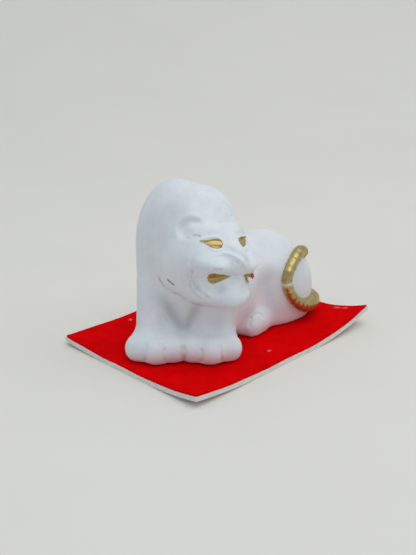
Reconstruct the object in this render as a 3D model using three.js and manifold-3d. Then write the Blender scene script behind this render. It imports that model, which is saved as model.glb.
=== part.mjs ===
// A seated ceramic tiger with a turned head, on its felt display mat.
// Millimetres, +Z up. The origin is the middle of the mat's underside, +X runs
// along the mat towards the tiger's rump and the face looks towards -Y.
//
// The castings are modelled the way the clay was: named lumps, rounded together,
// in three frames of their own (chest, head and rump). The lumps make one smooth
// distance field, which is then skinned, cut at the base and parted at the neck.

import * as THREE from 'three';
import { mergeVertices } from 'three/addons/utils/BufferGeometryUtils.js';
import Module from 'manifold-3d';

const wasm = await Module();
wasm.setup();

// Display mat: felt glued to a board, with its four corners curled up
const MAT_LENGTH = 84;
const MAT_WIDTH = 62;
const BOARD_THICKNESS = 1.5;
const FELT_THICKNESS = 0.6;
const GLUE_LINE = 0.1;
const CORNER_CURLS = [
  { x: -1, y: -1, lift: 2.4 },
  { x: 1, y: -1, lift: 5.5 },
  { x: 1, y: 1, lift: 3.6 },
  { x: -1, y: 1, lift: 1.2 },
];
const CURL_START = 0.62;
const MAT_STEPS = [18, 14];

// Fits between pieces
const REST_GAP = 0.05;
const LUTE_GAP = 0.3;
const TAIL_GAP = 0.25;
const GILDING_GAP = 0.25;

// Forequarters, in the chest frame: forward, left, up from the felt
const CHEST_PLACE = [-16.8, 0, 0];
const CHEST_TURN = 44.6;
const NAPE = { at: [-4.0, -1.5, 34], size: [11.0, 13.9, 21.8] };
const CHEST = { at: [-3.0, 0, 20], size: [10, 13.4, 17] };
const FORELEG = { from: [0.4, 8.4, 23], to: [4.2, 9.0, 8.0], radii: [7.2, 6.8] };
const KEEL = { from: [1.6, 0, 20], to: [6.8, 0, 9.0], radii: [6.4, 2.4] };
const PAW = { at: [6.2, 8.9, 3.4], size: [8.6, 8.8, 6.4] };
const TOES = [
  { at: [11.6, 3.1, 3.6], size: [4.0, 3.7, 4.4] },
  { at: [12.8, 8.8, 3.6], size: [4.0, 3.9, 4.4] },
  { at: [10.6, 14.6, 3.6], size: [4.0, 4.0, 4.4] },
];
const PAW_WEB = { at: [3.0, 0, 2.0], size: [8.5, 4.5, 5.5] };
const CHEST_GROOVE = { from: [10.2, 6.0, 19], to: [9.8, 2.4, 10.5], radii: [1.1, 0.6] };

// Hindquarters, in the figure's own frame, left side given
const LOIN = { from: [-10, 0, 19], to: [16, 0, 15], radii: [13.5, 14] };
const BELLY = { at: [2, 0, 9], size: [24, 11, 12] };
const HAUNCH = { at: [20, 0, 13.5], size: [19, 14, 15.5] };
const THIGH = { at: [22, -9, 14], size: [12, 6.5, 13.5] };
const HIND_FOOT = { from: [27, -11.5, 2.6], to: [8.5, -10.8, 3.4], radii: [3.4, 4.2] };
const HIND_PAW = { at: [7.5, -10.4, 3.6], size: [6, 5.0, 5.2] };
const HIND_TOE = { at: [3.8, -10.2, 3.0], size: [3.0, 2.1, 3.4] };
const HIND_TOE_PITCH = 3.2;
const HIND_TOE_SETBACK = 1.1;

// Head, in its own frame: forward, left, up from the middle of the skull
const HEAD_PLACE = [-11.6, -2.5, 33.5];
const HEAD_TURN = 84.6;
const HEAD_ROLL = 9;
const SKULL = { at: [-1.5, 0, -0.3], size: [13.2, 15.2, 20.3] };
const JAW_RIM = -15.8;
const MUZZLE = { at: [5.6, 0.6, -5.4], size: [13.2, 11.2, 11.0] };
const JAW = { at: [9.6, 1.2, -10.6], size: [9.0, 8.8, 6.2] };
const WHISKER_PAD = { at: [10.4, 4.4, -0.6], size: [8.8, 6.4, 3.5] };
const NOSE_BRIDGE = { from: [8.6, 0, 4.2], to: [16.8, 0, 1.0], radii: [3.0, 3.2] };
const NOSE = { at: [18.0, 0, 0.8], size: [2.3, 3.8, 2.0] };
const BROW = { from: [6.0, 10.0, 7.2], to: [9.8, 4.0, 7.2], radii: [0.9, 0.7] };

// Ear cups, gilded eyes and mouth corners, placed by their left and up in the head frame
const EAR = { left: 11.4, up: 9.4, length: 8.6, height: 5.4, slant: -38 };
const EAR_CUP = 1.5;
const EYE = { left: 6.4, up: 4.6, length: 7.0, height: 2.8, slant: 4 };
const EYE_POCKET = 1.3;
const MOUTH = { left: 6.0, up: -4.9, length: 7.6, height: 3.4, slant: -10 };
const MOUTH_POCKET = 1.7;
const GILDING_THICKNESS = 0.7;

// Neck joint: the head is luted to the body on a sloping plane
const NECK_FRONT = [12, 0, 16.5];
const NECK_SLOPE = 32;

// Tail: a clay roll curled on the left haunch, as turns about the haunch
const TAIL_MIDDLE = { turn: -72, up: 14.8 };
const TAIL_CURL = { turn: 38, up: 10 };
const TAIL_LEAN = 10;
const TAIL_TIP_ANGLE = 66;
const TAIL_ROOT_TURN = -6;
const TAIL_RADII = [2.0, 1.7, 2.1];
const TAIL_PROUD = 0.6;

// Widths of the rounded seams where one lump runs into the next
const SEAM = {
  nape: 6, leg: 2.5, keel: 1.6, toe: 2.2, web: 2, paw: 4, groove: 1.8,
  haunch: 6, belly: 4, thigh: 2.5, hindPaw: 2, hindToe: 1, hindFoot: 2, waist: 7,
  rim: 4, muzzle: 5, jaw: 4, pad: 3, bridge: 3.5, nose: 1.2, brow: 3, neck: 1,
};

// How finely the clay is skinned
const BODY_CELL = 2.1;
const HEAD_CELL = 1.6;
const TAIL_STEPS = 52;
const TAIL_SIDES = 10;

const MAT_TOP = BOARD_THICKNESS + GLUE_LINE + FELT_THICKNESS;
const CLEAR_OF_ALL = 200;
const WELD = 0.004;
const CREASE = 1.0;
const rad = THREE.MathUtils.degToRad;

// Distance fields of single lumps

function ellipsoid(p, { at, size }) {
  const x = p.x - at[0];
  const y = p.y - at[1];
  const z = p.z - at[2];
  const inner = Math.hypot(x / size[0], y / size[1], z / size[2]);
  const outer = Math.hypot(x / size[0] ** 2, y / size[1] ** 2, z / size[2] ** 2);
  return outer > 0 ? (inner * (inner - 1)) / outer : -Math.min(...size);
}

function limb(p, { from, to, radii }) {
  const a = new THREE.Vector3(...from);
  const axis = new THREE.Vector3(...to).sub(a);
  const offset = p.clone().sub(a);
  const along = THREE.MathUtils.clamp(offset.dot(axis) / axis.lengthSq(), 0, 1);
  const radius = THREE.MathUtils.lerp(radii[0], radii[1], along);
  return offset.addScaledVector(axis, -along).length() - radius;
}

// Joining and cutting with a rounded seam of the given width

function blend(a, b, width) {
  const near = Math.max(width - Math.abs(a - b), 0) / width;
  return Math.min(a, b) - near * near * width * 0.25;
}

function carve(a, b, width) {
  return -blend(-a, b, width);
}

// A turn is counted from -X towards -Y; a roll lowers the left side
function clayFrame(place, turn, roll) {
  const forward = new THREE.Vector3(-Math.cos(rad(turn)), -Math.sin(rad(turn)), 0);
  const left = new THREE.Vector3(0, 0, 1).cross(forward);
  const frame = new THREE.Matrix4().makeBasis(forward, left, new THREE.Vector3(0, 0, 1));
  frame.multiply(new THREE.Matrix4().makeRotationX(-rad(roll)));
  return frame.setPosition(...place);
}

const chestFrame = clayFrame(CHEST_PLACE, CHEST_TURN, 0);
const headFrame = clayFrame(HEAD_PLACE, HEAD_TURN, HEAD_ROLL);
const intoChest = chestFrame.clone().invert();
const intoHead = headFrame.clone().invert();

// Both sides brought to the left one, with a rounded crease along the middle
function foldedLeft(p) {
  return new THREE.Vector3(p.x, Math.hypot(p.y, CREASE), p.z);
}

// The three masses of clay, each measured at a point of the figure's frame

function forequarters(point) {
  const p = point.clone().applyMatrix4(intoChest);
  const half = foldedLeft(p);
  let clay = blend(ellipsoid(p, NAPE), ellipsoid(p, CHEST), SEAM.nape);
  clay = blend(clay, limb(half, FORELEG), SEAM.leg);
  clay = blend(clay, limb(p, KEEL), SEAM.keel);
  let paw = ellipsoid(half, PAW);
  for (const toe of TOES) {
    paw = blend(paw, ellipsoid(half, toe), SEAM.toe);
  }
  clay = blend(clay, blend(paw, ellipsoid(p, PAW_WEB), SEAM.web), SEAM.paw);
  return carve(clay, limb(half, CHEST_GROOVE), SEAM.groove);
}

function hindquarters(point) {
  const half = new THREE.Vector3(point.x, -Math.abs(point.y), point.z);
  let clay = blend(limb(point, LOIN), ellipsoid(point, HAUNCH), SEAM.haunch);
  clay = blend(clay, ellipsoid(point, BELLY), SEAM.belly);
  clay = blend(clay, ellipsoid(half, THIGH), SEAM.thigh);
  let foot = blend(limb(half, HIND_FOOT), ellipsoid(half, HIND_PAW), SEAM.hindPaw);
  for (const side of [-1, 0, 1]) {
    const [x, y, z] = HIND_TOE.at;
    const setback = Math.abs(side) * HIND_TOE_SETBACK;
    const toe = { at: [x + setback, y + side * HIND_TOE_PITCH, z], size: HIND_TOE.size };
    foot = blend(foot, ellipsoid(half, toe), SEAM.hindToe);
  }
  return blend(clay, foot, SEAM.hindFoot);
}

function headMass(point) {
  const p = point.clone().applyMatrix4(intoHead);
  const half = foldedLeft(p);
  let clay = carve(ellipsoid(p, SKULL), p.z - JAW_RIM, SEAM.rim);
  clay = blend(clay, ellipsoid(p, MUZZLE), SEAM.muzzle);
  clay = blend(clay, ellipsoid(p, JAW), SEAM.jaw);
  clay = blend(clay, ellipsoid(half, WHISKER_PAD), SEAM.pad);
  clay = blend(clay, limb(p, NOSE_BRIDGE), SEAM.bridge);
  clay = blend(clay, ellipsoid(p, NOSE), SEAM.nose);
  return blend(clay, limb(half, BROW), SEAM.brow);
}

function tigerClay(point) {
  const trunk = blend(forequarters(point), hindquarters(point), SEAM.waist);
  return blend(trunk, headMass(point), SEAM.neck);
}

function slopeOf(field, point) {
  const step = 0.05;
  const slope = new THREE.Vector3();
  for (const axis of ['x', 'y', 'z']) {
    const ahead = point.clone();
    const behind = point.clone();
    ahead[axis] += step;
    behind[axis] -= step;
    slope[axis] = (field(ahead) - field(behind)) / (2 * step);
  }
  return slope;
}

// The first point of the clay met from outside, coming in along a direction
function seatOn(field, outside, direction) {
  const point = outside.clone();
  for (let step = 0; step < 400; step += 1) {
    const gap = field(point);
    if (gap < 0.002) {
      break;
    }
    point.addScaledVector(direction, Math.max(gap * 0.7, 0.002));
  }
  return point;
}

// A box round lumps of one frame, both sides, with the frame's axes set into the figure's
function growBox(box, frame, lumps) {
  for (const lump of lumps) {
    const reach = Math.max(...(lump.size ?? lump.radii));
    for (const [x, y, z] of lump.at ? [lump.at] : [lump.from, lump.to]) {
      for (const side of [-1, 1]) {
        const middle = new THREE.Vector3(x, side * y, z).applyMatrix4(frame);
        box.expandByPoint(middle.clone().addScalar(reach));
        box.expandByPoint(middle.addScalar(-reach));
      }
    }
  }
}

// A closed skin over a field: one point per crossed cell, drawn onto the surface
function skin(field, box, cell) {
  const room = 2 * cell;
  const low = box.min.toArray().map((edge) => Math.floor((edge - room) / cell) * cell);
  const high = box.max.toArray().map((edge) => edge + room);
  const count = [0, 1, 2].map((i) => Math.ceil((high[i] - low[i]) / cell) + 1);
  const index = (i, j, k) => (k * count[1] + j) * count[0] + i;
  const node = (i, j, k) => new THREE.Vector3(low[0] + i * cell, low[1] + j * cell, low[2] + k * cell);
  const values = new Float64Array(count[0] * count[1] * count[2]);
  for (let k = 0; k < count[2]; k += 1) {
    for (let j = 0; j < count[1]; j += 1) {
      for (let i = 0; i < count[0]; i += 1) {
        values[index(i, j, k)] = field(node(i, j, k));
      }
    }
  }
  const points = [];
  const pointOfCell = new Map();
  for (let k = 0; k < count[2] - 1; k += 1) {
    for (let j = 0; j < count[1] - 1; j += 1) {
      for (let i = 0; i < count[0] - 1; i += 1) {
        const point = crossingOfCell(values, index, node, i, j, k);
        if (point) {
          drawOnto(field, point, cell);
          pointOfCell.set(index(i, j, k), points.length);
          points.push(point);
        }
      }
    }
  }
  const triangles = [];
  const steps = [[1, 0, 0], [0, 1, 0], [0, 0, 1]];
  for (let k = 1; k < count[2] - 1; k += 1) {
    for (let j = 1; j < count[1] - 1; j += 1) {
      for (let i = 1; i < count[0] - 1; i += 1) {
        for (let axis = 0; axis < 3; axis += 1) {
          const [di, dj, dk] = steps[axis];
          const here = values[index(i, j, k)] < 0;
          const there = values[index(i + di, j + dj, k + dk)] < 0;
          if (here === there) {
            continue;
          }
          const u = steps[(axis + 1) % 3];
          const v = steps[(axis + 2) % 3];
          const corner = (a, b) => pointOfCell.get(
            index(i - a * u[0] - b * v[0], j - a * u[1] - b * v[1], k - a * u[2] - b * v[2]),
          );
          const ring = [corner(1, 1), corner(0, 1), corner(0, 0), corner(1, 0)];
          addQuad(triangles, points, here ? ring : ring.reverse());
        }
      }
    }
  }
  return solidOf(points, triangles);
}

function crossingOfCell(values, index, node, i, j, k) {
  const sum = new THREE.Vector3();
  let crossings = 0;
  const bits = [0, 1];
  const cross = (a, b) => {
    const here = values[index(...a)];
    const there = values[index(...b)];
    if (here < 0 !== there < 0) {
      sum.add(node(...a).lerp(node(...b), here / (here - there)));
      crossings += 1;
    }
  };
  for (const a of bits) {
    for (const b of bits) {
      cross([i, j + a, k + b], [i + 1, j + a, k + b]);
      cross([i + a, j, k + b], [i + a, j + 1, k + b]);
      cross([i + a, j + b, k], [i + a, j + b, k + 1]);
    }
  }
  return crossings > 0 ? sum.divideScalar(crossings) : null;
}

function drawOnto(field, point, reach) {
  for (let pass = 0; pass < 3; pass += 1) {
    const slope = slopeOf(field, point);
    const step = field(point) / Math.max(slope.lengthSq(), 0.2);
    point.addScaledVector(slope, -THREE.MathUtils.clamp(step, -reach / 3, reach / 3));
  }
}

function addQuad(triangles, points, [a, b, c, d]) {
  const acrossAC = points[a].distanceToSquared(points[c]);
  const acrossBD = points[b].distanceToSquared(points[d]);
  if (acrossAC < acrossBD) {
    triangles.push(a, b, c, a, c, d);
  } else {
    triangles.push(b, c, d, b, d, a);
  }
}

// Between three.js geometries and solids that can be joined and cut

function solidOf(points, triangles) {
  const vertProperties = new Float32Array(points.flatMap((point) => point.toArray()));
  const triVerts = new Uint32Array(triangles);
  return new wasm.Manifold(new wasm.Mesh({ numProp: 3, vertProperties, triVerts }));
}

function solidFrom(geometry) {
  geometry.deleteAttribute('normal');
  geometry.deleteAttribute('uv');
  const merged = mergeVertices(geometry, 1e-4);
  return new wasm.Manifold(new wasm.Mesh({
    numProp: 3,
    vertProperties: Float32Array.from(merged.attributes.position.array),
    triVerts: Uint32Array.from(merged.index.array),
  }));
}

// Slivers left by a cut are welded shut: flat triangles and folded pairs go
function geometryOf(solid) {
  const mesh = solid.getMesh();
  const cut = new THREE.BufferGeometry();
  cut.setAttribute('position', new THREE.BufferAttribute(mesh.vertProperties, 3));
  cut.setIndex(new THREE.BufferAttribute(mesh.triVerts, 1));
  const geometry = mergeVertices(cut, WELD);
  const corners = geometry.index.array;
  const kept = new Map();
  for (let i = 0; i < corners.length; i += 3) {
    const triangle = [corners[i], corners[i + 1], corners[i + 2]];
    const key = triangle.toSorted((a, b) => a - b).join();
    if (new Set(triangle).size < 3 || kept.delete(key)) {
      continue;
    }
    kept.set(key, triangle);
  }
  geometry.setIndex([...kept.values()].flat());
  geometry.computeVertexNormals();
  return geometry;
}

// Everything below the felt, and everything on one side of the neck joint

function belowFelt() {
  const block = new THREE.BoxGeometry(CLEAR_OF_ALL, CLEAR_OF_ALL, CLEAR_OF_ALL);
  return solidFrom(block.translate(0, 0, -CLEAR_OF_ALL / 2));
}

function aboveNeck(point) {
  const p = point.clone().applyMatrix4(intoChest).sub(new THREE.Vector3(...NECK_FRONT));
  return p.z * Math.cos(rad(NECK_SLOPE)) + p.x * Math.sin(rad(NECK_SLOPE));
}

function neckBlock(side) {
  const block = new THREE.BoxGeometry(CLEAR_OF_ALL, CLEAR_OF_ALL, CLEAR_OF_ALL);
  block.translate(0, 0, side * (CLEAR_OF_ALL / 2 - LUTE_GAP / 2));
  block.rotateY(rad(NECK_SLOPE));
  block.translate(...NECK_FRONT);
  return solidFrom(block.applyMatrix4(chestFrame));
}

// A flat patch on the face, with its outward normal and its own upright
function facePatch({ left, up, slant }, side) {
  const outside = new THREE.Vector3(CLEAR_OF_ALL / 4, side * left, up).applyMatrix4(headFrame);
  const inward = new THREE.Vector3(-1, 0, 0).transformDirection(headFrame);
  const origin = seatOn(headMass, outside, inward);
  const normal = slopeOf(headMass, origin).normalize();
  const upright = new THREE.Vector3(0, 0, 1).transformDirection(headFrame);
  upright.addScaledVector(normal, -upright.dot(normal)).normalize();
  const across = upright.clone().cross(normal);
  const patch = new THREE.Matrix4().makeBasis(across, upright, normal);
  patch.multiply(new THREE.Matrix4().makeRotationZ(rad(side * slant)));
  return patch.setPosition(origin);
}

// Outlines on a patch: x runs from the nose outwards, for either side

function eyeOutline(length, height, side) {
  const x = (share) => side * share * length;
  const outline = new THREE.Shape();
  outline.moveTo(x(0.58), 0.1 * height);
  outline.bezierCurveTo(x(0.2), 0.35 * height, x(-0.3), 0.8 * height, x(-0.42), 0);
  outline.bezierCurveTo(x(-0.36), -0.75 * height, x(0.1), -0.6 * height, x(0.58), 0.1 * height);
  return outline;
}

function mouthOutline(length, height, side) {
  const x = (share) => side * share * length;
  const outline = new THREE.Shape();
  outline.moveTo(x(-0.5), 0.25 * height);
  outline.lineTo(x(0.3), 0.48 * height);
  outline.bezierCurveTo(x(0.52), 0.5 * height, x(0.58), -0.2 * height, x(0.32), -0.5 * height);
  outline.lineTo(x(-0.5), 0.25 * height);
  return outline;
}

function pocketSolid(outline, depth, patch) {
  const geometry = new THREE.ExtrudeGeometry(outline, {
    depth: depth + 6,
    bevelEnabled: false,
    curveSegments: 8,
  });
  return solidFrom(geometry.translate(0, 0, -depth).applyMatrix4(patch));
}

function gildingGeometry(outline, depth, patch) {
  const round = GILDING_THICKNESS / 4;
  const geometry = new THREE.ExtrudeGeometry(outline, {
    depth: GILDING_THICKNESS - 2 * round,
    bevelThickness: round,
    bevelSize: round,
    bevelOffset: -round,
    bevelSegments: 2,
    curveSegments: 8,
  });
  geometry.translate(0, 0, round + GILDING_GAP - depth).applyMatrix4(patch);
  return geometryOf(solidFrom(geometry));
}

function cupSolid({ length, height }, depth, patch) {
  const cup = new THREE.SphereGeometry(1, 18, 12);
  cup.scale(length / 2, height / 2, depth);
  return solidFrom(cup.applyMatrix4(patch));
}

// The tail's centre line, seated on the haunch all the way to its root
function tailCurve() {
  const points = [];
  const seat = (turn, up) => {
    const away = new THREE.Vector3(Math.cos(rad(turn)), Math.sin(rad(turn)), 0);
    const middle = new THREE.Vector3(THIGH.at[0], 0, up);
    const outside = middle.addScaledVector(away, CLEAR_OF_ALL / 4);
    const point = seatOn(hindquarters, outside, away.clone().negate());
    const normal = slopeOf(hindquarters, point).normalize();
    points.push(point.addScaledVector(normal, TAIL_PROUD));
  };
  const arcSteps = 12;
  for (let step = 0; step <= arcSteps; step += 1) {
    const angle = rad(THREE.MathUtils.lerp(TAIL_TIP_ANGLE, 270, step / arcSteps));
    seat(
      TAIL_MIDDLE.turn + TAIL_CURL.turn * Math.cos(angle) - TAIL_LEAN * Math.sin(angle),
      TAIL_MIDDLE.up + TAIL_CURL.up * Math.sin(angle),
    );
  }
  const runSteps = 4;
  for (let step = 1; step <= runSteps; step += 1) {
    const turn = THREE.MathUtils.lerp(TAIL_MIDDLE.turn + TAIL_LEAN, TAIL_ROOT_TURN, step / runSteps);
    seat(turn, TAIL_MIDDLE.up - TAIL_CURL.up);
  }
  return new THREE.CatmullRomCurve3(points);
}

// A round roll along a curve, its radius passing through three sizes, ends domed
function rollGeometry(curve, radii, extra) {
  const frames = curve.computeFrenetFrames(TAIL_STEPS, false);
  const sizes = new THREE.CatmullRomCurve3(radii.map((radius, i) => new THREE.Vector3(i, radius, 0)));
  const positions = [];
  const indices = [];
  const ring = (centre, normal, binormal, radius) => {
    for (let side = 0; side < TAIL_SIDES; side += 1) {
      const angle = (2 * Math.PI * side) / TAIL_SIDES;
      const point = centre.clone();
      point.addScaledVector(normal, radius * Math.cos(angle));
      point.addScaledVector(binormal, radius * Math.sin(angle));
      positions.push(...point.toArray());
    }
  };
  const station = (step, push, share) => {
    const centre = curve.getPointAt(step / TAIL_STEPS);
    const radius = sizes.getPoint(step / TAIL_STEPS).y + extra;
    centre.addScaledVector(frames.tangents[step], push * radius * Math.sqrt(1 - share * share));
    ring(centre, frames.normals[step], frames.binormals[step], radius * Math.sqrt(1 - (1 - share) ** 2));
  };
  for (const share of [0.25, 0.6]) {
    station(0, -1, share);
  }
  for (let step = 0; step <= TAIL_STEPS; step += 1) {
    station(step, 0, 1);
  }
  for (const share of [0.6, 0.25]) {
    station(TAIL_STEPS, 1, share);
  }
  const rings = positions.length / 3 / TAIL_SIDES;
  for (let r = 0; r < rings - 1; r += 1) {
    for (let side = 0; side < TAIL_SIDES; side += 1) {
      const next = (side + 1) % TAIL_SIDES;
      const a = r * TAIL_SIDES + side;
      const b = r * TAIL_SIDES + next;
      indices.push(a, b, b + TAIL_SIDES, a, b + TAIL_SIDES, a + TAIL_SIDES);
    }
  }
  const last = (rings - 1) * TAIL_SIDES;
  for (let side = 1; side < TAIL_SIDES - 1; side += 1) {
    indices.push(0, side + 1, side);
    indices.push(last, last + side, last + side + 1);
  }
  const geometry = new THREE.BufferGeometry();
  geometry.setAttribute('position', new THREE.Float32BufferAttribute(positions, 3));
  geometry.setIndex(indices);
  return geometry;
}

// How far the mat is curled up from the table at a place
function curlAt(x, y) {
  let lift = 0;
  for (const corner of CORNER_CURLS) {
    const nearX = 0.5 + (corner.x * x) / MAT_LENGTH;
    const nearY = 0.5 + (corner.y * y) / MAT_WIDTH;
    const share = Math.max(nearX * nearY - CURL_START, 0) / (1 - CURL_START);
    lift += corner.lift * share * share;
  }
  return lift;
}

// One layer of the mat, from its own underside, following the curl
function sheetGeometry(bottom, thickness) {
  const sheet = new THREE.BoxGeometry(MAT_LENGTH, MAT_WIDTH, thickness, ...MAT_STEPS, 1);
  sheet.translate(0, 0, bottom + thickness / 2);
  sheet.deleteAttribute('normal');
  sheet.deleteAttribute('uv');
  const geometry = mergeVertices(sheet, 1e-4);
  const place = geometry.attributes.position;
  for (let i = 0; i < place.count; i += 1) {
    place.setZ(i, place.getZ(i) + curlAt(place.getX(i), place.getY(i)));
  }
  geometry.computeVertexNormals();
  return geometry;
}

const whiteBisque = { color: 0xdfe4e8, roughness: 0.62, metalness: 0 };
const goldLustre = { color: 0xb89c4c, roughness: 0.36, metalness: 0.75 };
const redFelt = { color: 0xc8040c, roughness: 1, metalness: 0 };
const whiteBoard = { color: 0xddd6d2, roughness: 0.9, metalness: 0 };

function piece(name, geometry, finish) {
  const mesh = new THREE.Mesh(geometry, new THREE.MeshStandardMaterial(finish));
  mesh.name = name;
  return mesh;
}

// Castings, each skinned a little past the neck joint and then cut on it
const SPARE_CLAY = 3;
const forequarterLumps = [NAPE, CHEST, FORELEG, KEEL, PAW, ...TOES, PAW_WEB];
const hindquarterLumps = [LOIN, BELLY, HAUNCH, THIGH, HIND_FOOT, HIND_PAW, HIND_TOE];
const headLumps = [SKULL, MUZZLE, JAW, WHISKER_PAD, NOSE_BRIDGE, NOSE, BROW];
const headBox = new THREE.Box3();
growBox(headBox, chestFrame, [NAPE]);
growBox(headBox, headFrame, headLumps);
const bodyBox = new THREE.Box3();
growBox(bodyBox, chestFrame, forequarterLumps);
growBox(bodyBox, new THREE.Matrix4(), hindquarterLumps);
const headClay = skin((point) => Math.max(tigerClay(point), -aboveNeck(point) - SPARE_CLAY), headBox, HEAD_CELL);
const bodyClay = skin((point) => Math.max(tigerClay(point), aboveNeck(point) - SPARE_CLAY), bodyBox, BODY_CELL);

const tail = tailCurve();
const tailGroove = solidFrom(rollGeometry(tail, TAIL_RADII, TAIL_GAP));
const bodyCasting = bodyClay.subtract(neckBlock(1)).subtract(belowFelt()).subtract(tailGroove);

const figure = new THREE.Group();
figure.name = 'figure';
figure.position.z = MAT_TOP + REST_GAP;

let headCasting = headClay.subtract(neckBlock(-1));
for (const [side, name] of [[1, 'left'], [-1, 'right']]) {
  const eyePatch = facePatch(EYE, side);
  const mouthPatch = facePatch(MOUTH, side);
  const eyeHole = eyeOutline(EYE.length, EYE.height, side);
  const mouthHole = mouthOutline(MOUTH.length, MOUTH.height, side);
  headCasting = headCasting.subtract(pocketSolid(eyeHole, EYE_POCKET, eyePatch));
  headCasting = headCasting.subtract(pocketSolid(mouthHole, MOUTH_POCKET, mouthPatch));
  headCasting = headCasting.subtract(cupSolid(EAR, EAR_CUP, facePatch(EAR, side)));
  const eyeFilm = eyeOutline(EYE.length - 2 * GILDING_GAP, EYE.height - 2 * GILDING_GAP, side);
  const mouthFilm = mouthOutline(MOUTH.length - 3 * GILDING_GAP, MOUTH.height - 3 * GILDING_GAP, side);
  figure.add(piece(`${name}_eye_gilding`, gildingGeometry(eyeFilm, EYE_POCKET, eyePatch), goldLustre));
  figure.add(piece(`${name}_mouth_gilding`, gildingGeometry(mouthFilm, MOUTH_POCKET, mouthPatch), goldLustre));
}
figure.add(piece('body_casting', geometryOf(bodyCasting), whiteBisque));
figure.add(piece('head_casting', geometryOf(headCasting), whiteBisque));
figure.add(piece('tail_roll', geometryOf(solidFrom(rollGeometry(tail, TAIL_RADII, 0))), goldLustre));

const mat = new THREE.Group();
mat.name = 'mat';
mat.add(piece('mat_board', sheetGeometry(0, BOARD_THICKNESS), whiteBoard));
mat.add(piece('mat_felt', sheetGeometry(BOARD_THICKNESS + GLUE_LINE, FELT_THICKNESS), redFelt));

const tiger = new THREE.Group();
tiger.name = 'tiger_figurine';
tiger.add(mat, figure);

export default tiger;
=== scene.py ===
"""A seated ceramic tiger on its red felt mat, dressed for a studio picture.

The tiger is shaped as its clay was: named lumps, rounded together in a chest
frame, a head frame and the figure's own frame, with folds and grooves drawn on
the skin. Clay is measured in millimetres up from the felt. Finished meshes are
in metres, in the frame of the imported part.
"""

import logging
import math
from collections.abc import Callable, Sequence
from dataclasses import dataclass
from enum import Enum

import bmesh
import bpy
import numpy as np
from mathutils import Matrix, Vector
from mathutils.kdtree import KDTree

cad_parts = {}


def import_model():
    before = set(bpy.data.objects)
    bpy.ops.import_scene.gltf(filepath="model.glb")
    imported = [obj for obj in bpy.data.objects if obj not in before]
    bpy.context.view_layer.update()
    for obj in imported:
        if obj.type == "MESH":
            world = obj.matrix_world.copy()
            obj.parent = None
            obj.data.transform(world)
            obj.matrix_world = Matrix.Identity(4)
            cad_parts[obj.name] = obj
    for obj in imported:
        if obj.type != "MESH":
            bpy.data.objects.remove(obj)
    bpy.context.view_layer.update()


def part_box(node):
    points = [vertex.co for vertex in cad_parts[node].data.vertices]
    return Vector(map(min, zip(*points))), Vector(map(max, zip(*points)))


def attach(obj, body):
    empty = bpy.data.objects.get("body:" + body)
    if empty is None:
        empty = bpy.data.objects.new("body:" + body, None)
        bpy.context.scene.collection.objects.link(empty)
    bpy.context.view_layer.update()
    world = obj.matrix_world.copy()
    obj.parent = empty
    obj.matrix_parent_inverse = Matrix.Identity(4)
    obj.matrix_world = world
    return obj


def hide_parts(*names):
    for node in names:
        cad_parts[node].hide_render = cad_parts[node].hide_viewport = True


LOG = logging.getLogger("tiger_figurine")
MM = 0.001
# Keeps a division from failing where a length is zero.
TINY = 1e-9
# Share of a measured distance that a point is moved, as measures are a little rough.
SAFE_SHARE = 0.8
# Edges that bend more than this stay sharp, in degrees.
SHARP_EDGE = 50.0

Pair = tuple[float, float]
Triple = tuple[float, float, float]
# A range of values, and the range that it is stretched to.
Ramp = tuple[float, float, float, float]
Points = np.ndarray
Values = np.ndarray
Field = Callable[[np.ndarray], np.ndarray]


class Body(Enum):
    """The bodies that pieces ride on."""

    MAT = "mat"
    FIGURE = "figure"


class Side(Enum):
    """The tiger's own sides, as the sign of left."""

    LEFT = 1
    RIGHT = -1


# Measuring clay


def blend(first: Values, second: Values, width: float | Values) -> Values:
    """Joins two masses of clay with a rounded seam.

    Args:
        first: Distances to one mass.
        second: Distances to the other.
        width: Width of the seam, in millimetres.

    Returns:
        Distances to the joined mass.
    """
    near = np.maximum(width - np.abs(first - second), 0.0) / width
    return np.minimum(first, second) - near * near * width * 0.25


def carve(clay: Values, tool: Values, width: float) -> Values:
    """Cuts a tool's shape out of clay with a rounded lip.

    Args:
        clay: Distances to the clay.
        tool: Distances to the tool.
        width: Width of the lip, in millimetres.

    Returns:
        Distances to what is left.
    """
    return -blend(-clay, tool, width)


def lengths(rows: Points) -> Values:
    """The length of each row."""
    return np.sqrt(np.einsum("ij,ij->i", rows, rows))


def smoothstep(values: Values) -> Values:
    """An even rise from 0 to 1 over values from 0 to 1."""
    share = np.clip(values, 0.0, 1.0)
    return share * share * (3.0 - 2.0 * share)


def smooth_line(corners: Points, steps: int) -> Points:
    """A smooth line through a few points.

    Args:
        corners: The points that the line passes through.
        steps: Steps between one point and the next.

    Returns:
        Points close together along the line.
    """
    ends = np.vstack([2 * corners[0] - corners[1], corners, 2 * corners[-1] - corners[-2]])
    line = [corners[:1]]
    share = np.linspace(0.0, 1.0, steps + 1)[1:, None]
    for before, start, end, after in zip(ends, ends[1:], ends[2:], ends[3:]):
        bend = 2 * before - 5 * start + 4 * end - after
        twist = 3 * (start - end) + after - before
        line.append(start + 0.5 * share * (end - before + share * (bend + share * twist)))
    return np.vstack(line)


def point_along(line: Points, gaps: Values, distance: float) -> Points:
    """The point of a line at a distance along it, given how far along each of its points is."""
    return np.array([np.interp(distance, gaps, line[:, axis]) for axis in range(3)])


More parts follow.
